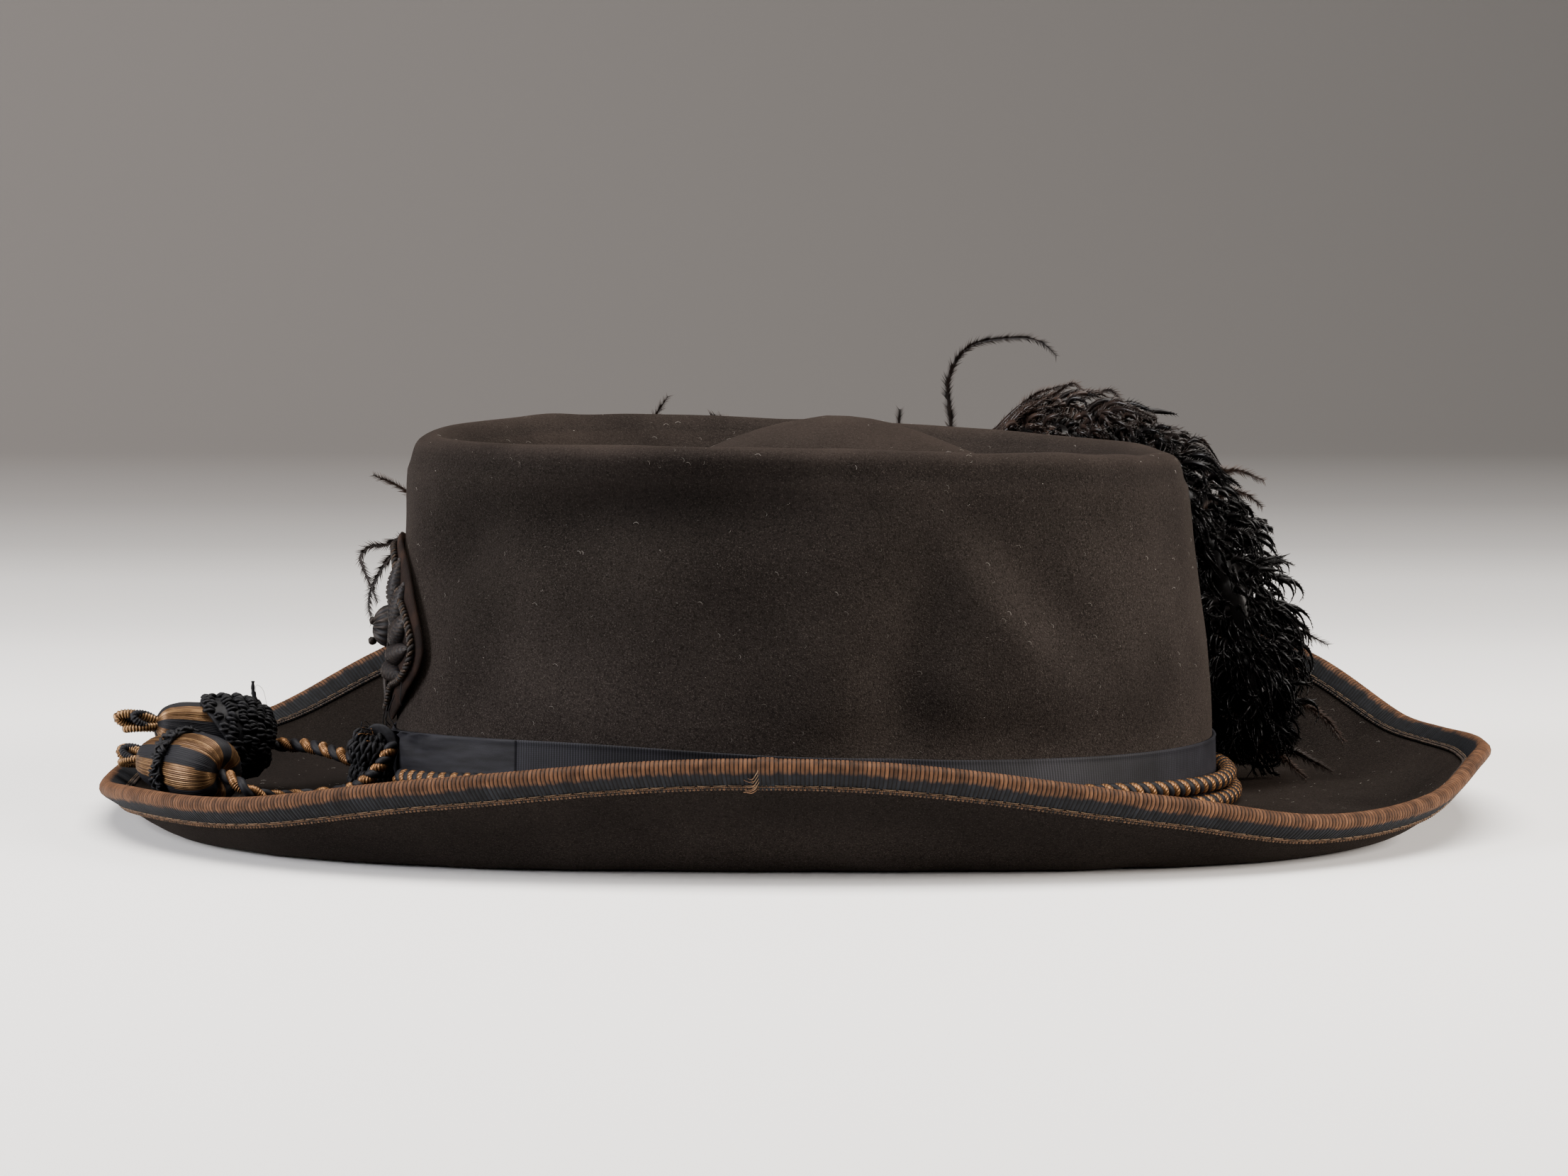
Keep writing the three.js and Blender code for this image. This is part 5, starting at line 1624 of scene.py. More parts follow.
@dataclass
class HatCord:
    """Two turns of twisted cord round the crown, the woven slide that gathers them, and two loose ends."""

    form: HatForm
    slide: tuple[float, float, float] = (-104.2, -14.0, 13.2)
    turn_diameter: float = 4.4
    end_diameter: float = 3.6
    turn_pitch: float = 4.6
    end_pitch: float = 8.4
    tight_pitch: float = 4.2
    strand_share: float = 0.3
    stop_degrees: tuple[float, float] = (9.0, 4.2)
    turn_points: int = 260
    end_points: int = 60

    # Points of each end that are tightly twisted, from the slide
    TIGHT_POINTS = {"cord_end_far": 0, "cord_end_near": 19}
    # Turns: distance out from the crown's oval, height over the crown's foot
    TURNS = {"hat_cord_lower": (5.0, 2.6), "hat_cord_upper": (3.6, 7.0)}
    ENDS = {
        "cord_end_far": (
            (-108.9, -11.4, 13.6),
            (-114.6, -3.6, 14.7),
            (-121.6, 6, 15.1),
            (-128.9, 13.2, 14.6),
            (-133, 14, 15.3),
        ),
        "cord_end_near": (
            (-98.5, -20.2, 18.6),
            (-100, -21.4, 16),
            (-101.8, -22.2, 13.2),
            (-104.8, -22.4, 10.2),
            (-108, -21.4, 8),
            (-112, -18.4, 6.6),
            (-116.5, -16.6, 5.8),
            (-121.5, -18, 5.6),
            (-127.4, -28, 6.6),
            (-132.6, -33.5, 8.6),
            (-136.7, -31.4, 11.2),
            (-139.7, -27.7, 12.1),
        ),
    }
    # Slide: height from its middle, radius
    SLIDE_PROFILE: Table = ((-7, 3.4), (-4.2, 5.2), (0, 4.5), (4.2, 5.2), (7, 3.4))
    # The band's end, folded over the slide's top, and where its threads come loose
    RIBBON_FOLD: Table = (
        (-98.8, -17.6, 17.6),
        (-100.0, -17.8, 20.2),
        (-101.8, -16.8, 21.2),
        (-103.8, -15.6, 20.8),
        (-105.2, -15.4, 19.2),
    )
    FOLD_FACE = (0.5, 0.8, 0.2)
    FRAYS_AT = (-104.2, -16.4, 20.2)

    def twisted(
        self,
        rule: CordRule,
        name: str,
        paths: Sequence[np.ndarray],
        pitches: Sequence[float],
        diameter: float,
        step: float,
        wire_depth: float,
    ) -> bpy.types.Object:
        """Twists a cord along a path, or along the parts of one.

        Args:
            rule: the rule that lays the strands.
            name: the piece's name.
            paths: points of the cord's middle, part by part, in millimetres.
            pitches: length of one full twist in each part.
            diameter: over the strands.
            step: length of one facet.
            wire_depth: how far the wire's turns stand out, as a share of a strand's radius.

        Returns:
            The cord, as a plain mesh.
        """
        line = polylines(name, paths, self.form.shift, pitch=np.asarray(pitches) * MM)
        return rule.run(
            line,
            Strand_Radius=diameter * self.strand_share * MM,
            Lay_Radius=diameter * (0.5 - self.strand_share) * MM,
            Step=step * MM,
            Wire_Spacing=0.55 * MM,
            Wire_Depth=wire_depth,
            Finish=WoundThread().material(),
        )

    def build_turns(self, rule: CordRule) -> None:
        """Both turns, each from one side of the slide round to its other side."""
        form = self.form
        x, y = self.slide[0] - form.axis[0], self.slide[1] - form.axis[1]
        slide_at = math.degrees(math.atan2(y / form.base[1], x / form.base[0]))
        for name, (out, rise) in self.TURNS.items():
            first, last = self.stop_degrees
            degrees = np.linspace(slide_at + first, slide_at + 360.0 - last, self.turn_points)
            flat = form.oval(degrees, 0.0, np.full(degrees.shape, out))
            level = form.foot(degrees) + rise + 0.2 * np.sin(np.radians(degrees) * 5.0)
            path = [lifted(flat, level)]
            strands = name + "_strands"
            cord = self.twisted(rule, strands, path, [self.turn_pitch], self.turn_diameter, 0.3, 0.0)
            place_piece(cord, Slot.CORD, name)

    def build_ends(self, rule: CordRule) -> None:
        """Both loose ends, on which the acorns hang."""
        for name, knots in self.ENDS.items():
            path = even_curve(knots, self.end_points)
            tight = self.TIGHT_POINTS[name]
            parts = [part for part in (path[:tight], path[max(0, tight - 1) :]) if len(part) > 1]
            pitches = (self.tight_pitch, self.end_pitch)[-len(parts) :]
            cord = self.twisted(rule, name + "_strands", parts, pitches, self.end_diameter, 0.14, 0.12)
            place_piece(cord, Slot.CORD, name)

    def build_slide(self, laid: LaidRule) -> tuple[bpy.types.Object, bpy.types.Object]:
        """Barrel of black crochet: a core, the rows of stitches on it, and the band's folded end on top."""
        middle = np.asarray(self.slide)
        profile = np.asarray(self.SLIDE_PROFILE)
        along, radius = spline(profile, np.linspace(0, len(profile) - 1, 41)).T
        work = Patchwork()
        core = np.stack([0 * along, 0 * along, along], axis=1) + middle
        work.add(*tube(core, radius - 0.5, 24))
        fold = even_curve(self.RIBBON_FOLD, 24)
        turn = np.linspace(0, 2 * math.pi, 16, endpoint=False)[None, :, None]
        across = unit(np.cross(np.gradient(fold, axis=0), self.FOLD_FACE))
        out = unit(np.cross(across, np.gradient(fold, axis=0)))
        width = np.interp(np.linspace(0, 1, 24), (0, 0.3, 0.7, 1), (1.6, 2.4, 2.2, 1.4))[:, None, None]
        rows = fold[:, None] + across[:, None] * width * np.cos(turn) + out[:, None] * 0.36 * np.sin(turn)
        work.add(*closed_rows(rows))
        braid = PlainThread("black_braid_silk", "#1b1b1e", "#0b0b0d", 1.2, 0.6).material()
        body = work.piece("cord_slide_core", braid, self.form.shift)
        draw = np.random.default_rng(41)
        places, faces, runs = [], [], []
        for r, level in enumerate(np.linspace(-6.3, 6.3, 8)):
            girth = float(np.interp(level, along, radius)) - 0.1
            count = int(round(2 * math.pi * girth / 2.3))
            for k in range(count):
                t = 2 * math.pi * (k + 0.5 * (r % 2)) / count + draw.normal(0, 0.06)
                c, s = math.cos(t), math.sin(t)
                places.append(middle + (girth * c, girth * s, level + draw.normal(0, 0.25)))
                faces.append((c, s, level / 16.0))
                runs.append((-0.3 * s, 0.3 * c, 1.0))
        ways = (np.asarray(part) for part in (places, faces, runs))
        size = draw.uniform(0.9, 1.25, len(places))
        name = "cord_slide_stitches"
        return body, laid.lay(name, crochet_shape(), *ways, braid, self.form.shift, size)

    def build_frays(self) -> bpy.types.Object:
        """Frayed copper thread ends of the band that stick out over the slide."""
        draw = np.random.default_rng(11)
        work = Patchwork()
        for k in range(30):
            way = unit(draw.normal((-0.7, -0.5, 0.25), (0.45, 0.4, 0.35)))
            length = draw.uniform(1.2, 3.4)
            bow = draw.normal(0, 0.35, 3) * length
            start = np.asarray(self.FRAYS_AT) + draw.normal(0, 0.8, 3)
            path = [start, start + way * length * 0.5 + bow * 0.5, start + way * length + bow * 0.2]
            thread = tube(even_curve(path, 6), draw.uniform(0.1, 0.17), 4)
            work.add(*thread, gold=float(k % 3 > 0), tone=draw.random())
        return work.piece("band_frayed_end", WoundThread().material(), self.form.shift)


def crochet_shape() -> bpy.types.Object:
    """One crochet stitch: two legs of thread that part and close."""
    shape = Patchwork()
    for side in (-1.0, 1.0):
        leg = np.array(((-1.3, 0.12, -0.3), (-0.5, 0.46, 0.45), (0.45, 0.78, 0.52), (1.25, 0.5, -0.15)))
        shape.add(*tube(even_curve(leg * (1.0, side, 1.0), 6), 0.5, 5))
    return shape.piece("crochet_shape", None, np.zeros(3))


# Acorn along its axis, from the dimple where the cord enters to the sewn point: distance along, radius
ACORN_PROFILE: Table = (
    (1.8, 0.15),
    (0.8, 2.4),
    (0, 4.6),
    (1.4, 7.2),
    (5, 8.6),
    (10, 8.9),
    (14, 8.1),
    (18, 7.2),
    (23, 6.4),
    (27, 4.4),
    (29, 0.3),
)


@dataclass
class Acorn:
    """Thread-wound acorn with wire loops at its point and a crocheted net round it."""

    form: HatForm
    name: str
    entry: tuple[float, float, float]
    point: tuple[float, float, float]
    net: tuple[float, float]
    net_skew: tuple[float, float]
    stripe_turn: float
    seed: int
    net_tail: Table = ()
    net_hair: Table = ()
    threads: int = 110
    stripes: int = 5
    gold_share: float = 0.56
    loop_root: float = 26.5
    loop_points: int = 190
    loop_sides: int = 8
    rings: int = 52
    net_sides: int = 48

    # One loop: half width, reach
    LOOP: Table = ((-0.3, 0), (-1, 0.5), (-0.75, 0.85), (0, 1), (0.75, 0.85), (1, 0.5), (0.3, 0))
    # Loops at the point: reach, half width, radius, roll about the axis, tilt out, wire or silk
    LOOPS: Table = (
        (11.6, 1.75, 1.1, 80, 4, 1),
        (9.6, 0.7, 0.85, 80, 9, 0),
        (9.4, 2.0, 0.95, 200, 14, 1),
        (8.4, 1.6, 0.9, 320, 16, 0),
    )
    # Net over the end where the cord comes out: distance along, radius
    NET_MOUTH: Table = ((-1.3, 2.1), (-1.1, 3.2), (-0.6, 4.5))

    def to_hat(self, local: np.ndarray) -> np.ndarray:
        """Turns points about the acorn's own axis, Y, to where it lies on the hat."""
        pointing = unit(np.subtract(self.point, self.entry))
        x, y, z = np.cross([0.0, 1.0, 0.0], pointing)
        skew = np.array([[0, -z, y], [z, 0, -x], [-y, x, 0]])
        turn = np.eye(3) + skew + skew @ skew / (1.0 + pointing[1])
        return np.asarray(self.entry) + local @ turn.T

    def radius_at(self, along: np.ndarray) -> np.ndarray:
        """Radius of the body at distances along it, outside the dimple."""
        rows = np.asarray(ACORN_PROFILE[2:])
        return np.interp(along, rows[:, 0], rows[:, 1])

    def build_body(self) -> bpy.types.Object:
        """Body wound with gold and black threads, and the loops at its point."""
        draw = np.random.default_rng(self.seed)
        columns = 3 * self.threads
        along, radius = spline(ACORN_PROFILE, np.linspace(0, len(ACORN_PROFILE) - 1, self.rings)).T
        turn = np.arange(columns) * 2 * math.pi / columns
        ridge = np.tile([-0.2, 0.06, 0.06], self.threads) + np.repeat(draw.normal(0, 0.07, self.threads), 3)
        strength = np.clip(radius / 6.0, 0.0, 1.0)
        reach = np.maximum(radius, 0.15)[:, None] + ridge[None, :] * strength[:, None]
        parts = np.broadcast_arrays(reach * np.cos(turn), along[:, None], reach * np.sin(turn))
        local = np.stack(parts, axis=-1)
        thread_turn = np.repeat(np.arange(self.threads) / self.threads * 360.0, 3)
        place = np.mod(thread_turn[None, :] + self.stripe_turn + 0.15 * along[:, None], 360.0 / self.stripes)
        gold = (place < 360.0 / self.stripes * self.gold_share).astype(float)
        hollow = np.tile([0.9, 0.0, 0.0], self.threads)
        tone = np.broadcast_to(np.repeat(draw.random(self.threads), 3) + hollow, gold.shape)
        ends = [0.0, 0.0]
        work = Patchwork()
        skin = closed_rows(self.to_hat(local))
        work.add(*skin, gold=np.append(gold.ravel(), ends), tone=np.append(tone.ravel(), ends))
        for loop in self.LOOPS:
            self.add_loop(work, *loop)
        thread = WoundThread("acorn_wire_and_silk", gold="#97754f", tarnish="#4c3724", wire_depth=0.0)
        return work.piece(self.name + "_threads", thread.material(), self.form.shift)

    def add_loop(
        self, work: Patchwork, reach: float, half: float, radius: float, roll: float, tilt: float, wire: float
    ) -> None:
        """Adds one loop of close-wound wire or silk at the acorn's point."""
        knots = np.array([(across * half, along * reach, 0.0) for across, along in self.LOOP])
        tilt, roll = math.radians(tilt), math.radians(roll)
        leaned = knots @ np.array(
            [[1, 0, 0], [0, math.cos(tilt), math.sin(tilt)], [0, -math.sin(tilt), math.cos(tilt)]]
        )
        c, s = math.cos(roll), math.sin(roll)
        turned = leaned @ np.array([[c, 0, -s], [0, 1, 0], [s, 0, c]])
        path = even_curve(turned + (0, self.loop_root, 0), self.loop_points)
        run = np.linspace(0, np.linalg.norm(np.diff(path, axis=0), axis=1).sum(), len(path))
        wound = radius * (1 + 0.12 * np.cos(run * 2 * math.pi / 0.72))
        points, quads, ends = tube(path, wound, self.loop_sides)
        dent = np.repeat(0.9 * (wound < radius), self.loop_sides)
        tone = np.append(dent, np.zeros(len(points) - len(dent)))
        work.add(self.to_hat(points), quads, ends, gold=wire, tone=tone)

    def net_place(self, turn: np.ndarray, along: np.ndarray, out: np.ndarray | float) -> np.ndarray:
        """Points of the net, which reaches further along the body on its upper side.

        Args:
            turn: angles round the axis.
            along: distances along it, before the skew.
            out: distances off the body.

        Returns:
            The points about the acorn's own axis.
        """
        first, last = self.net
        share = np.clip((along - first) / (last - first), 0.0, 1.0)
        slant = np.where(np.sin(turn) > 0, *self.net_skew)
        level = along + slant * np.sin(turn) * share**2
        mouth = np.asarray((*self.NET_MOUTH, *ACORN_PROFILE[3:]))
        body = np.interp(level, mouth[:, 0], mouth[:, 1]) if first < 1.0 else self.radius_at(level)
        radius = body + out
        return np.stack(np.broadcast_arrays(radius * np.cos(turn), level, radius * np.sin(turn)), axis=-1)

    def build_net(self, laid: LaidRule) -> tuple[bpy.types.Object, bpy.types.Object]:
        """Black sleeve, and the crochet stitches that stand on it."""
        first, last = self.net
        start = self.NET_MOUTH[0][0] if first < 1.0 else first
        level = np.linspace(start, last, 18)
        along = np.concatenate([level, level[::-1]])
        out = np.repeat([0.9, 0.2], len(level))
        turn = np.linspace(0, 2 * math.pi, self.net_sides, endpoint=False)[:, None]
        local = self.net_place(turn, along, out)
        silk = PlainThread("crochet_silk", "#1a1a1d", "#0a0a0c", 1.0, 0.55).material()
        work = Patchwork()
        quads = sheet_quads(self.net_sides, len(along), round_rows=True, round_columns=True)
        work.add(self.to_hat(local.reshape(-1, 3)), quads)
        if self.net_tail:
            tail = even_curve(self.net_tail, 14)
            work.add(*tube(tail, np.linspace(0.8, 0.4, 14) + 0.1 * np.cos(np.arange(14) * 2.4), 6))
            work.add(*tube(even_curve(self.net_hair, 12), 0.07, 4))
        sleeve = work.piece(self.name + "_net_sleeve", silk, self.form.shift)
        draw = np.random.default_rng(self.seed + 50)
        rows = max(2, int(round((last - start) / 1.6)))
        spots, ahead, beside = [], [], []
        for r in range(rows):
            level = start + (r + 0.5) * (last - start) / rows
            girth = np.linalg.norm(self.net_place(np.zeros(1), np.array([level]), 1.1)[0, [0, 2]])
            count = max(6, int(round(2 * math.pi * girth / 2.1)))
            turn = 2 * math.pi * (np.arange(count) + 0.5 * (r % 2)) / count + draw.normal(0, 0.05, count)
            where = np.full(count, level) + draw.normal(0, 0.25, count)
            spots.append(self.net_place(turn, where, 1.15))
            ahead.append(self.net_place(turn + draw.normal(0, 0.03, count), where + 0.5, 1.15))
            beside.append(self.net_place(turn + 0.1, where, 1.15))
        spots, ahead, beside = (self.to_hat(np.concatenate(part)) for part in (spots, ahead, beside))
        run = unit(ahead - spots)
        face = unit(np.cross(beside - spots, run))
        middle = self.to_hat(np.array([[0.0, (first + last) / 2, 0.0]]))
        face = face * np.sign(np.sum(face * (spots - middle), axis=1, keepdims=True))
        size = draw.uniform(0.75, 1.1, len(spots))
        name = self.name + "_net_stitches"
        return laid.lay(name, crochet_shape(), spots, face, run, silk, self.form.shift, size), sleeve


@dataclass
class FrontBadge:
    """Oval velvet patch on the front of the crown, with a corded edge, padded leaf sprays and a boss."""

    form: HatForm
    half_width: float = 31.0
    half_height: float = 23.4
    height: float = 45.6
    gap: float = 0.5
    face: float = 1.4
    cord_inset: float = 3.0
    cord_diameter: float = 1.9
    cord_pitch: float = 2.6
    cord_points: int = 161
    spray: tuple[float, float] = (15.0, 11.0)
    leaf_length: float = 14.0
    leaf_half: float = 2.7
    leaf_rise: float = 3.0
    boss_radius: float = 5.5
    boss_rise: float = 5.0

    # Bulge of the patch's near end: reach, where it starts and ends, its height and half span
    EAR = (7.0, 8.0, 31.0, -5.0, 11.0)
    # Waists of the edging cord: turn from the near end, half span, depth
    WAISTS: Table = ((40.0, 20.0, 5.0), (-50.0, 15.0, 3.5))
    # One tail of the knot: distance across, up, height over the patch's back
    TAIL: Table = ((0, -11, 2.4), (2.5, -13.6, 2.5), (4.2, -17.4, 2.1), (7.4, -18.6, 1.9))
    # Loose threads under the edging: distance across, drop, swing
    LOOSE: Table = ((-13, 6, -2), (-9, 9, 3), (4, 7, -3), (12, 5, 2), (20, 8, -2), (25, 6, 3))

    # Patch from the middle of its face over its edge to the middle of its back: share of its size, height
    PATCH: Table = (
        (0.02, 1.5),
        (0.3, 1.5),
        (0.6, 1.45),
        (0.8, 1.4),
        (0.92, 1.35),
        (0.97, 1.15),
        (1.0, 0.7),
        (0.985, 0.15),
        (0.9, 0.0),
        (0.5, 0.0),
        (0.02, 0.0),
    )

    def on_badge(self, places: np.ndarray) -> np.ndarray:
        """Points of the badge, from distances across to the near side, up and over its back."""
        across, up, off = np.moveaxis(np.asarray(places, float), -1, 0)
        reach, start, end, level, span = self.EAR
        across = across + reach * smoothstep(across, start, end) * np.exp(-(((up - level) / span) ** 2))
        curled = 1.2 * smoothstep(across, 19.0, 32.0)
        degrees = 180.0 + np.degrees(across / self.form.base[1])
        return self.form.wall(degrees, self.height + up, self.gap + off + curled)

    def ring(self, share: np.ndarray, off: np.ndarray, sides: int, width: float, height: float) -> np.ndarray:
        """Rows of ovals about the badge's middle, from shares of their size and heights."""
        turn = np.linspace(0, 2 * math.pi, sides, endpoint=False)
        share, off = np.asarray(share)[:, None], np.asarray(off)
        off = off if off.ndim == 2 else off[:, None]
        parts = np.broadcast_arrays(share * width * np.cos(turn), share * height * np.sin(turn), off)
        return np.stack(parts, axis=-1)

    def build_patch(self) -> bpy.types.Object:
        """The velvet."""
        share, off = np.asarray(self.PATCH).T
        work = Patchwork()
        work.add(*closed_rows(self.on_badge(self.ring(share, off, 96, self.half_width, self.half_height))))
        return work.piece("front_badge_velvet", Velvet().material(), self.form.shift)

    def build_edging(self, rule: CordRule) -> bpy.types.Object:
        """Twisted cord sewn round the patch."""
        turn = np.linspace(-math.pi, math.pi, self.cord_points)
        inset = self.cord_inset
        for at, span, depth in self.WAISTS:
            inset = inset + depth * np.exp(-(((np.degrees(turn) - at) / span) ** 2))
        width, height = self.half_width - inset, self.half_height - inset
        off = np.full(self.cord_points, self.face + self.cord_diameter * 0.42)
        path = self.on_badge(np.stack([width * np.cos(turn), height * np.sin(turn), off], axis=1))
        pitch = np.array([self.cord_pitch * MM])
        line = polylines("front_badge_edging", [path], self.form.shift, pitch=pitch)
        wire = WoundThread("badge_edging_wire", "#1b1817", "#362b22", "#1a1512", wire_depth=0.35)
        return rule.run(
            line,
            Strand_Radius=0.3 * self.cord_diameter * MM,
            Lay_Radius=0.2 * self.cord_diameter * MM,
            Step=0.25 * MM,
            Wire_Spacing=0.5 * MM,
            Wire_Depth=0.0,
            Finish=wire.material(),
        )

    def build_work(self) -> bpy.types.Object:
        """Leaves, stems, a knot with two tails and a boss, in padded wire."""
        work = Patchwork()
        width, height = self.spray
        for side in (-1.0, 1.0):
            for turn in np.radians(np.arange(-60.0, 25.0, 21.0)):
                start = (side * width * math.cos(turn), height * math.sin(turn))
                lean = turn + math.radians(58.0)
                self.add_leaf(work, start, (side * math.cos(lean), math.sin(lean)))
            turn = np.radians(np.linspace(-97.0, 38.0, 30))
            stem = [side * width * np.cos(turn), height * np.sin(turn), np.full(30, self.face + 0.5)]
            self.add_bar(work, np.stack(stem, axis=1), 0.62)
            tail = [(side * across, up, off) for across, up, off in self.TAIL]
            self.add_bar(work, even_curve(tail, 40), 0.68)
        share = np.array([0.05, 0.3, 0.55, 0.75, 0.9, 1.0, 0.9])
        dome = self.face + self.boss_rise * np.sqrt(np.clip(1.02 - share**2, 0, 1))
        dome[-1] = self.face - 0.4
        turn = np.linspace(0, 2 * math.pi, 96, endpoint=False)
        ribs = 0.4 * np.cos(turn * 16)[None, :] * np.array([0, 0.6, 1, 1, 1, 0.6, 0])[:, None]
        rows = self.ring(share, dome[:, None] + ribs, 96, self.boss_radius, self.boss_radius)
        # Painted glints and shade: more wire colour on the boss's ribs, less between them
        glint_and_shade = np.append((0.3 + ribs).ravel(), [0.2, 0.2])
        work.add(*closed_rows(self.on_badge(rows)), gold=glint_and_shade, tone=0.5)
        for level in (1.0, -4.0):
            self.add_bar(work, np.array([[-1.2, level, 6.2], [0, level + 0.3, 6.6], [1.2, level, 6.2]]), 0.9)
        around = np.linspace(0, 2 * math.pi, 60)
        for size, level in ((self.boss_radius + 0.7, 0.6), (1.5, 3.4)):
            loop = [size * np.cos(around), size * np.sin(around), np.full(60, self.face + level)]
            self.add_bar(work, np.stack(loop, axis=1), 0.6)
        knot = [1.6 * np.cos(around), -11.4 + 1.3 * np.sin(around), np.full(60, self.face + 1.2)]
        self.add_bar(work, np.stack(knot, axis=1), 0.75)
        wire = WoundThread("tarnished_badge_wire", "#131316", "#4c4138", "#211b17", wire_depth=0.35)
        return work.piece("front_badge_wirework", wire.material(), self.form.shift)

    def add_bar(self, work: Patchwork, places: np.ndarray, radius: float) -> None:
        """Adds a bar of close-wound wire."""
        path = even_curve(self.on_badge(places), 2 * len(places))
        wound = radius * (1 + 0.12 * np.cos(np.arange(len(path)) * math.pi))
        work.add(*tube(path, wound, 7), gold=0.45, tone=0.5)

    def add_leaf(self, work: Patchwork, start: Sequence[float], way: Sequence[float]) -> None:
        """Adds a padded leaf of wires that slant back from its midrib.

        Args:
            work: the piece it goes to.
            start: its root, across and up.
            way: the way that it points, across and up.
        """
        share = np.linspace(0.0, 1.0, 61)[:, None]
        round_way = np.linspace(0, 2 * math.pi, 18, endpoint=False)[None, :]
        half = self.leaf_half * (np.sin(math.pi * np.clip(share, 0.02, 0.98) ** 0.8)) ** 0.7
        across = half * np.cos(round_way)
        wires = 0.3 * np.cos(2 * math.pi * (share * 11.0 - np.abs(np.cos(round_way)) * 1.6))
        crease = -0.35 * np.exp(-((np.cos(round_way) / 0.22) ** 2))
        swell = half / self.leaf_half * self.leaf_rise * np.maximum(np.sin(round_way), -0.12)
        off = self.face + swell + (wires + crease) * (np.sin(round_way) > 0.1)
        along = share * self.leaf_length
        parts = (
            start[0] + way[0] * along - way[1] * across,
            start[1] + way[1] * along + way[0] * across,
            off,
        )
        rows = self.on_badge(np.stack(np.broadcast_arrays(*parts), axis=-1))
        # Painted glints and shade: wire colour on the leaf's ridges, black silk in its grooves
        glint_and_shade = np.append(np.broadcast_to(0.25 + 1.4 * wires, across.shape).ravel(), [0.2, 0.2])
        work.add(*closed_rows(rows), gold=np.clip(glint_and_shade, 0.0, 1.0), tone=0.45)

    def build_threads(self) -> bpy.types.Object:
        """Loose thread ends that hang from the edging."""
        work = Patchwork()
        for at, drop, swing in self.LOOSE:
            level = -self.half_height * math.sqrt(1 - (at / self.half_width) ** 2) + 3.0
            middle, end = (at + swing, level - 0.6 * drop, 3.0), (at + 0.3 * swing, level - drop, 1.6)
            hang = even_curve([(at, level, 2.3), middle, end], 14)
            work.add(*tube(self.on_badge(hang), 0.14, 4))
        silk = PlainThread("loose_black_thread", "#1c1a1b", "#0c0b0c")
        return work.piece("front_badge_threads", silk.material(), self.form.shift)


@dataclass(frozen=True)
class BarbLayer:
    """One layer of a plume's barbs: where along the shaft it grows, and how far round it from straight up."""

    name: str
    count: int
    reach: float
    seed: int
    span: tuple[float, float] = (0.0, 1.0)
    spread: float = math.pi
    tuft: int = 6


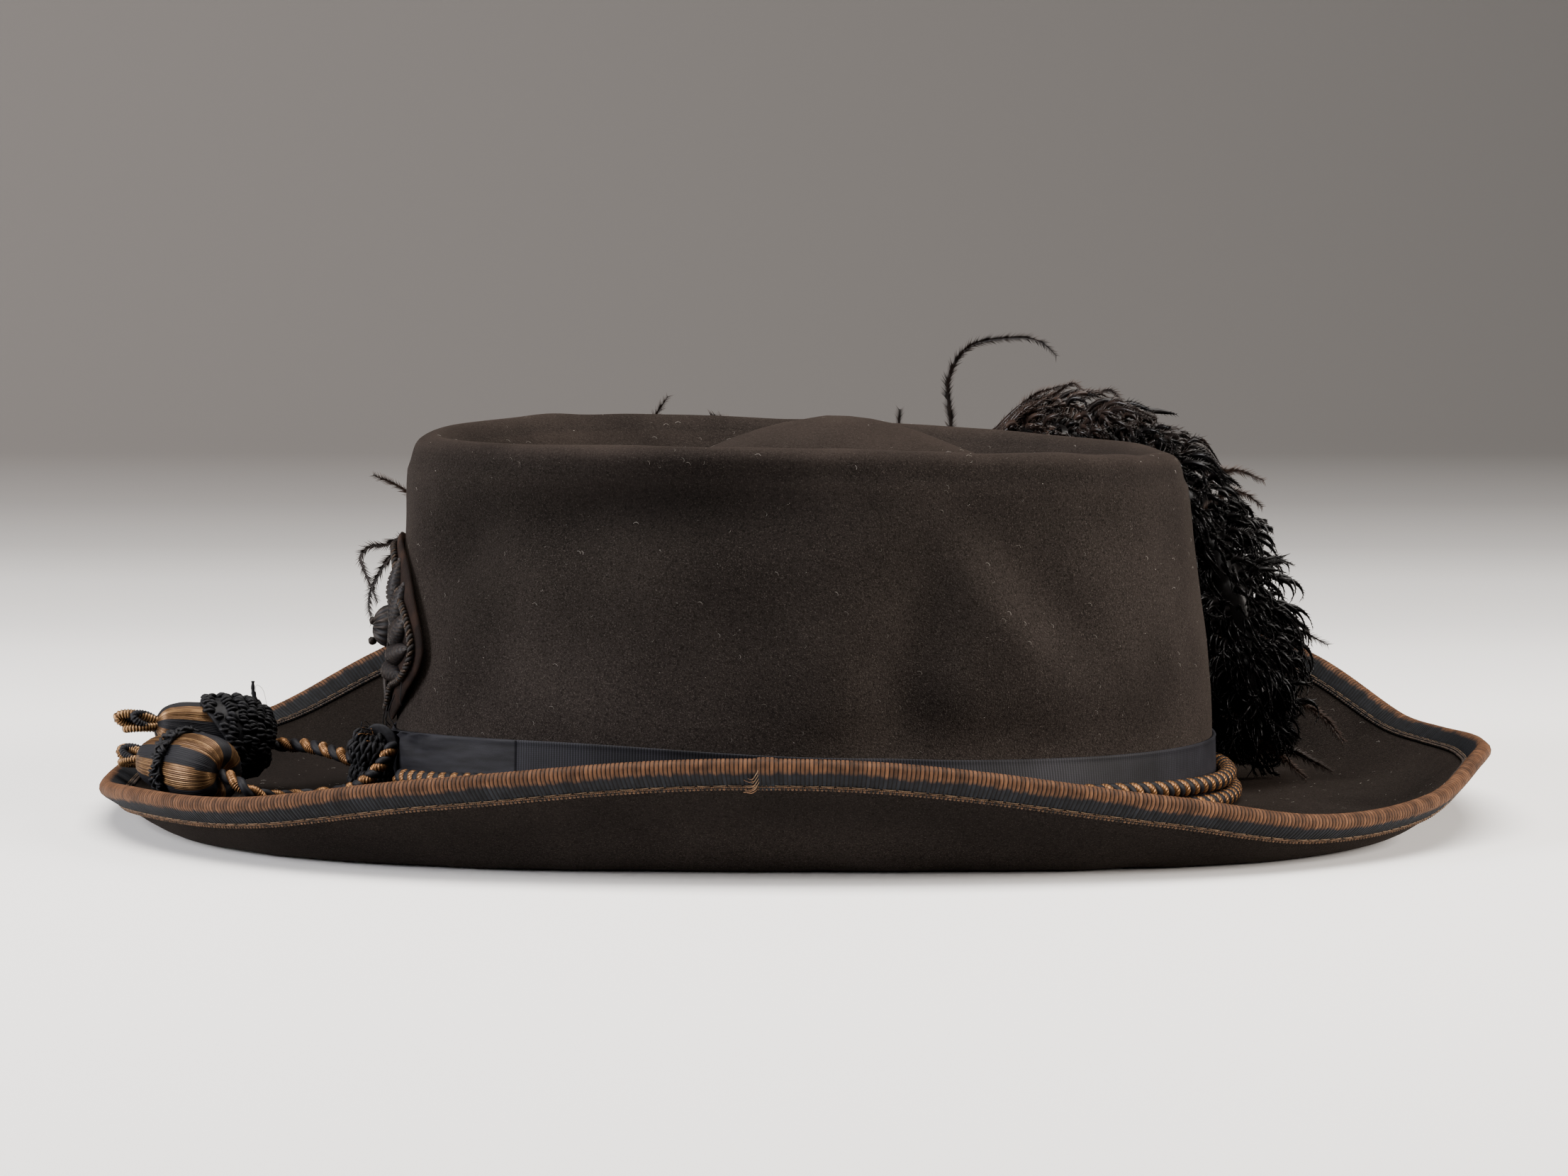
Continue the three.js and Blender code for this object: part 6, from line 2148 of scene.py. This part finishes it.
@dataclass
class Plume:
    """Ostrich plume along the far side of the crown, whose tip curls down at the back."""

    form: HatForm
    softness: float = 5.0
    curls: tuple[float, float] = (1.2, 3.2)
    steps: int = 9

    # Shaft: angle, distance off the crown, height, radius of the solid form
    SHAFT: Table = (
        (150, 2.1, 33, 1.6),
        (134, 6, 52, 3.6),
        (112, 8.5, 66, 5.4),
        (88, 10, 76, 6.4),
        (66, 12, 83, 7.4),
        (48, 14.5, 86, 8.6),
        (34, 17, 78, 9.4),
        (25, 17.5, 62, 9.6),
        (19, 17, 45, 9.4),
        (15, 16, 29, 8.4),
        (12, 15.5, 14, 5.4),
    )
    # How high the barbs reach: distance towards the back, height
    TOPS: Table = (
        (-60, 82), (40, 85), (53, 89), (60, 97), (72, 103), (83, 100), (92, 95), (101, 93), (105, 89),
        (109, 82), (115, 77), (125, 70), (128, 60), (133, 48), (140, 30),
    )
    # Reach of the barbs' roots: share of the shaft's length, share of the solid form's radius
    BULK: Table = ((0, 1.2), (0.5, 1.3), (0.62, 1.45), (1, 1.5))
    LAYERS = (
        BarbLayer("plume_barbs_inner", 1140, 10.0, 3, tuft=1),
        BarbLayer("plume_barbs_middle", 1140, 11.0, 17, tuft=3),
        BarbLayer("plume_barbs_outer", 1140, 12.0, 29),
        BarbLayer("plume_barbs_loops", 40, 17.0, 37, (0.4, 0.56), 0.7, 2),
    )
    # Single barbs that stand away from the rest
    WISPS: tuple[Table, ...] = (
        ((-88, 44, 52), (-95, 40, 70), (-99, 40, 76.5), (-107, 38, 80.7)),
        (
            (-88, 44, 58),
            (-96, 42, 62.5),
            (-100.5, 40, 64.4),
            (-104.4, 40, 62.6),
            (-108.3, 40, 62.4),
            (-110.9, 40, 59.6),
            (-110.1, 40, 56.8),
            (-106.5, 40, 48.2),
        ),
        (
            (-90, 44, 59),
            (-97, 42, 61.6),
            (-102.7, 40, 60.2),
            (-107.9, 40, 51.8),
            (-108.7, 40, 46.8),
            (-107.9, 40, 43.2),
        ),
        ((-39, 86, 72), (-38.5, 87, 88), (-33.5, 88, 97.5)),
        ((-16, 88, 78), (-17, 89, 90), (-22, 89, 92.8)),
        ((27, 90, 80), (27.5, 90, 94)),
        ((58, 88, 80), (57.4, 88, 89.7), (60.9, 88, 96.5), (66.5, 88, 99.4), (71, 88, 100.6)),
        (
            (62, 88, 80),
            (61.9, 88, 89.7),
            (63.2, 88, 94.3),
            (67.7, 88, 97.8),
            (72.9, 88, 101.1),
            (76.2, 88, 98.4),
        ),
        (
            (66, 88, 80),
            (66.5, 88, 89.7),
            (67.1, 88, 93.2),
            (70, 88, 95.5),
            (73.5, 88, 94.3),
            (73.9, 88, 90.8),
        ),
        (
            (70, 88, 86),
            (73.5, 88, 96.5),
            (78, 88, 97.8),
            (82.6, 88, 99.4),
            (85.4, 88, 96.5),
            (85.9, 88, 94.3),
        ),
        ((102, 50, 74), (107, 48, 80), (113, 47, 81.2), (119.8, 46, 78.8)),
        ((104, 46, 70), (110, 46, 75.6), (115, 45, 75.4), (119.4, 45, 72.2)),
        ((112, 36, 42), (124, 32, 42.2), (130, 31, 40.8), (135.1, 30, 38.2)),
        ((116, 30, 24), (126, 30, 24), (134, 29, 20), (139, 28, 14)),
        ((114, 26, 12), (124, 26, 12), (131, 25, 9), (136, 25, 6.4)),
        ((112, 24, 16), (120, 22, 13), (126, 21, 8), (129, 20, 5.6)),
        (
            (40, 86, 82),
            (41, 88, 91),
            (40.3, 88, 102.3),
            (46.1, 88, 111.1),
            (58.6, 88, 113.2),
            (64.7, 88, 111.9),
            (68.4, 88, 108.5),
        ),
    )

    def shaft(self, share: np.ndarray) -> tuple[np.ndarray, np.ndarray]:
        """Points of the shaft at shares of its length, and the solid form's radius there."""
        rows = spline(np.asarray(self.SHAFT), np.clip(share, 0.0, 1.0) * (len(self.SHAFT) - 1))
        return self.form.wall(rows[:, 0], rows[:, 2], rows[:, 1]), rows[:, 3]

    def barb_lines(self, layer: BarbLayer) -> tuple[np.ndarray, np.ndarray]:
        """Lines of barbs, which rise from the shaft, droop and curl under.

        Args:
            layer: the layer that they make.

        Returns:
            Points of each line, and its tone.
        """
        count = layer.count
        draw = np.random.default_rng(layer.seed)
        tufts = -(-count // layer.tuft)
        tuft = np.arange(count) // layer.tuft
        share = ((np.arange(tufts) + draw.random(tufts)) / tufts) ** 0.86
        share = layer.span[0] + (layer.span[1] - layer.span[0]) * share
        share = np.clip(share[tuft] + draw.normal(0.0, 0.005, count), 0.0, 1.0)
        shaft, radius = self.shaft(share)
        tangent = unit(self.shaft(share + 0.01)[0] - self.shaft(share - 0.01)[0])
        out = unit((shaft - (*self.form.axis, 0.0)) * (1.0, 1.0, 0.0))
        out = unit(out - tangent * np.sum(out * tangent, axis=1, keepdims=True))
        side = np.cross(tangent, out)
        turn = math.pi / 2 + draw.uniform(-layer.spread, layer.spread, (tufts, 1))[tuft]
        turn = turn + draw.normal(0.0, 0.14, (count, 1))
        away = out * np.cos(turn) + side * np.sin(turn)
        depth = draw.uniform(0.35, 1.0, tufts)[tuft] + draw.normal(0.0, 0.07, count)
        bulk = np.interp(share, *np.transpose(self.BULK))
        root = shaft + away * (radius * bulk * depth)[:, None]
        lean = draw.uniform(0.0, 0.8, (tufts, 1))[tuft]
        heading = unit(away + tangent * lean + draw.normal(0.0, 0.16, (count, 3)))
        pull = tangent * 0.5 + out * 0.25 + (0.0, 0.0, -0.5)
        pull = pull + draw.normal(0.0, 0.35, (tufts, 3))[tuft] + draw.normal(0.0, 0.08, (count, 3))
        bend = unit(pull - heading * np.sum(pull * heading, axis=1, keepdims=True))
        ends = np.sin(math.pi * np.clip(share * 0.6 + 0.14, 0.0, 1.0)) ** 0.5
        spans = draw.uniform(0.65, 1.15, tufts)[tuft] * draw.uniform(0.75, 1.1, count)
        length = (layer.reach * ends * spans)[:, None]
        curl = draw.uniform(*self.curls, (tufts, 1))[tuft] + draw.normal(0.0, 0.25, (count, 1))
        points = [root]
        for k in range(1, self.steps):
            angle = curl * ((k - 0.5) / (self.steps - 1)) ** 1.3
            way = heading * np.cos(angle) + bend * np.sin(angle)
            points.append(points[-1] + way * length / (self.steps - 1))
        flat = self.form.clear(np.stack(points, axis=1).reshape(-1, 3), 0.9)
        ragged = np.repeat(draw.uniform(-3.0, 2.0, tufts)[tuft], self.steps)
        top = np.interp(flat[:, 0], *np.transpose(self.TOPS)) + ragged
        over = np.maximum(flat[:, 2] - (top - self.softness), 0.0)
        flat[:, 2] = np.where(over > 0, top - self.softness * np.exp(-over / self.softness), flat[:, 2])
        brown = np.clip(1.3 - 1.9 * share, 0.05, 1.0)
        return flat.reshape(count, self.steps, 3), draw.uniform(0.25, 1.0, tufts)[tuft] * brown

    def build_barbs(self, rule: BarbRule, layer: BarbLayer) -> bpy.types.Object:
        """One layer of barbs."""
        lines, tone = self.barb_lines(layer)
        obj = polylines(layer.name, list(lines), self.form.shift, tone=tone)
        return rule.run(
            obj,
            Stem_Radius=0.8 * MM,
            Spacing=0.95 * MM,
            Barbule_Length=2.5 * MM,
            Barbule_Radius=0.26 * MM,
            Lean=math.radians(30.0),
            Radial=(1.0, 1.0, 0.0),
            Facing=(0.0, 0.0, 0.0),
            Seed=layer.seed,
            Finish=Ostrich().material(),
        )

    def build_wisps(self, rule: BarbRule) -> bpy.types.Object:
        """Single barbs that stand away from the plume."""
        lines = [even_curve(knots, 24) for knots in self.WISPS]
        tone = np.random.default_rng(51).uniform(0.1, 0.5, len(lines))
        obj = polylines("plume_wisps", lines, self.form.shift, tone=tone)
        return rule.run(
            obj,
            Stem_Radius=0.42 * MM,
            Spacing=0.42 * MM,
            Barbule_Length=2.7 * MM,
            Barbule_Radius=0.27 * MM,
            Lean=math.radians(40.0),
            Radial=(0.0, 0.0, 0.0),
            Facing=(0.0, 1.0, 0.0),
            Seed=21,
            Finish=Ostrich().material(),
        )

    def build_core(self) -> bpy.types.Object:
        """Shaft and the matted down round it."""
        share = np.linspace(0, 1, 90)
        points, radius = self.shaft(share)
        draw = np.random.default_rng(8)
        work = Patchwork()
        path = self.form.clear(points, 0.6)
        work.add(*tube(path, radius * 0.6 * draw.uniform(0.85, 1.1, 90), 12), tone=0.0)
        return work.piece("plume_shaft", Ostrich().material(), self.form.shift)


@dataclass
class Studio:
    """Plain pale sweep, soft lights and the camera."""

    floor_drop: float = 0.0002
    sweep_start: float = 0.45
    sweep_radius: float = 0.8
    sweep_turn: float = 43.5
    lens: float = 138.78
    camera_at: tuple[float, float, float] = (0.00198, -1.49614, 0.195)
    camera_turn: tuple[float, float, float] = (84.67, 0.0, 0.19)
    surround: str = "#cfd0d4"
    surround_power: float = 0.06

    # Painted shade of the paper from the floor to the backdrop: distance back, share of the backdrop's grey
    PAINTED_BACKDROP_SHADE: Table = (
        (0.2, 0.0),
        (0.41, 0.22),
        (0.55, 0.55),
        (0.6, 0.78),
        (0.65, 0.92),
        (0.7, 1.0),
    )
    # Lights: place, the point that it faces, width, depth, power, colour
    LIGHTS = {
        "top_softbox": ((0.0, -0.05, 1.25), (0, 0, 0.05), 1.4, 0.9, 40.0, "#fffaf5"),
        "left_softbox": ((-1.5, -0.4, 0.6), (0, 0, 0.06), 0.8, 0.9, 42.0, "#fdfbff"),
        "right_softbox": ((1.5, -0.4, 0.6), (0, 0, 0.06), 0.8, 0.9, 50.0, "#fff6ee"),
    }

    def add_camera(self) -> None:
        """Camera at the photograph's viewing angle."""
        camera = new_object("camera", bpy.data.cameras.new("camera"))
        camera.data.lens = self.lens
        camera.location = self.camera_at
        camera.rotation_euler = [math.radians(v) for v in self.camera_turn]
        bpy.context.scene.camera = camera

    def add_sweep(self) -> None:
        """Paper floor that curves up into the backdrop."""
        turn = np.linspace(0, math.radians(self.sweep_turn), 49)
        flat = np.array([-3.0, -0.3, 0.0, 0.1, 0.2, 0.3, 0.38])
        y = np.concatenate([flat, self.sweep_start + self.sweep_radius * np.sin(turn)])
        z = np.concatenate([0 * flat, self.sweep_radius * (1 - np.cos(turn))])
        profile = np.stack([y, z], axis=1)
        rows = np.stack([np.column_stack([np.full(len(profile), x), profile]) for x in (-3.0, 3.0)])
        rows[..., 2] -= self.floor_drop
        rise = np.interp(rows[..., 1].ravel(), *np.transpose(self.PAINTED_BACKDROP_SHADE))
        work = Patchwork()
        work.add(rows.reshape(-1, 3) / MM, sheet_quads(2, len(profile)), closed=False, rise=rise)
        work.piece("studio_sweep", StudioPaper().material(), np.zeros(3))

    def add_lights(self) -> None:
        """Softboxes and a dim surround."""
        for name, (place, target, width, depth, power, colour) in self.LIGHTS.items():
            data = bpy.data.lights.new(name, "AREA")
            data.shape = "RECTANGLE"
            data.size, data.size_y = width, depth
            data.energy = power
            data.color = linear(colour)[:3]
            light = new_object(name, data)
            light.location = place
            way = Vector(target) - Vector(place)
            light.rotation_euler = way.to_track_quat("-Z", "Y").to_euler()
        world = bpy.data.worlds.new("dim_surround")
        world.use_nodes = True
        background = world.node_tree.nodes["Background"]
        background.inputs["Color"].default_value = linear(self.surround)
        background.inputs["Strength"].default_value = self.surround_power
        bpy.context.scene.world = world


def strew_lint(felt: bpy.types.Object) -> None:
    """Pale fibres and specks of dust on the felt."""
    rule = LintRule()
    fibre = PlainThread("pale_lint", "#b5b0a9", "#6b665f")
    for name, density, length, thickness, seed in (
        ("felt_lint_fibres", 11000.0, 1.5 * MM, 0.016, 4),
        ("felt_lint_specks", 7000.0, 0.3 * MM, 0.17, 9),
    ):
        lint = new_object(name, felt.data.copy())
        finish = fibre.material()
        rule.run(lint, Density=density, Seed=seed, Length=length, Thickness=thickness, Finish=finish)
        place_piece(lint, Slot.FELT)


def build_cords(form: HatForm, cord_rule: CordRule, laid: LaidRule) -> None:
    """Cord turns, slide, loose ends and acorns."""
    far = Acorn(
        form,
        "acorn_far",
        (-133.0, 14.0, 15.3),
        (-161.4, 6.0, 20.8),
        (0.1, 10.0),
        (8.5, 4.5),
        42.0,
        31,
        net_tail=((-134.6, 13, 23), (-135.4, 12.8, 25.8), (-136, 13.1, 28.2), (-136, 13, 30.7)),
        net_hair=((-135.2, 13, 27), (-135.2, 12.4, 29.8), (-133.4, 12.2, 28.6), (-132.6, 12.6, 25)),
    )
    near = Acorn(
        form, "acorn_near", (-139.4, -28.0, 12.1), (-159.8, -10.5, 13.8), (13.6, 17), (0.0, 0.0), 52.0, 47
    )
    for acorn, end in ((far, "cord_end_far"), (near, "cord_end_near")):
        body = place_piece(acorn.build_body(), Slot.THREAD, acorn.name)
        stitches, sleeve = acorn.build_net(laid)
        place_piece(sleeve, Slot.BRAID, acorn.name + "_net")
        place_piece(stitches, Slot.BRAID, acorn.name + "_net")
    cord = HatCord(form)
    cord.build_ends(cord_rule)
    cord.build_turns(cord_rule)
    for piece in cord.build_slide(laid):
        place_piece(piece, Slot.BRAID, "cord_slide")
    place_piece(cord.build_frays(), Slot.BAND)


def main() -> None:
    """Builds the hat's pieces in order and reports each one."""
    logging.basicConfig(level=logging.INFO, format="%(message)s")
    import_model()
    low, high = (np.asarray(corner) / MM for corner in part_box("cord_slide"))
    middle = (low + high) / 2
    slide = HatCord.slide
    form = HatForm(np.array([middle[0] - slide[0], middle[1] - slide[1], 0.0]))
    studio = Studio()
    studio.add_camera()
    cord_rule, laid, barb_rule = CordRule(), LaidRule(), BarbRule()
    build_cords(form, cord_rule, laid)
    felt = place_piece(FeltBody(form).build(), Slot.FELT, "felt_body")
    binding = BrimBinding(form)
    place_piece(binding.build(), Slot.BINDING, "brim_binding")
    place_piece(binding.build_stitches(laid), Slot.BINDING)
    under = PlainThread("selvage_knots_under", "#624a37", "#2c231b", 1.2)
    over = PlainThread("selvage_knots_over", "#4b3f36", "#1f1c1c", 1.2)
    place_piece(binding.build_knots(laid, "brim_binding_knots_under", -1.0, under), Slot.BINDING)
    place_piece(binding.build_knots(laid, "brim_binding_knots_over", 1.0, over), Slot.BINDING)
    place_piece(binding.build_torn_threads(), Slot.BINDING)
    place_piece(RibbonBand(form).build(), Slot.BAND, "ribbon_band")
    badge = FrontBadge(form)
    place_piece(badge.build_patch(), Slot.VELVET, "front_badge")
    place_piece(badge.build_edging(cord_rule), Slot.THREAD, "front_badge")
    place_piece(badge.build_work(), Slot.THREAD, "front_badge")
    place_piece(badge.build_threads(), Slot.BRAID)
    plume = Plume(form)
    place_piece(plume.build_core(), Slot.FEATHER, "plume")
    for layer in plume.LAYERS:
        place_piece(plume.build_barbs(barb_rule, layer), Slot.FEATHER, "plume")
    place_piece(plume.build_wisps(barb_rule), Slot.FEATHER)
    strew_lint(felt)
    studio.add_sweep()
    studio.add_lights()


if __name__ == "__main__":
    main()
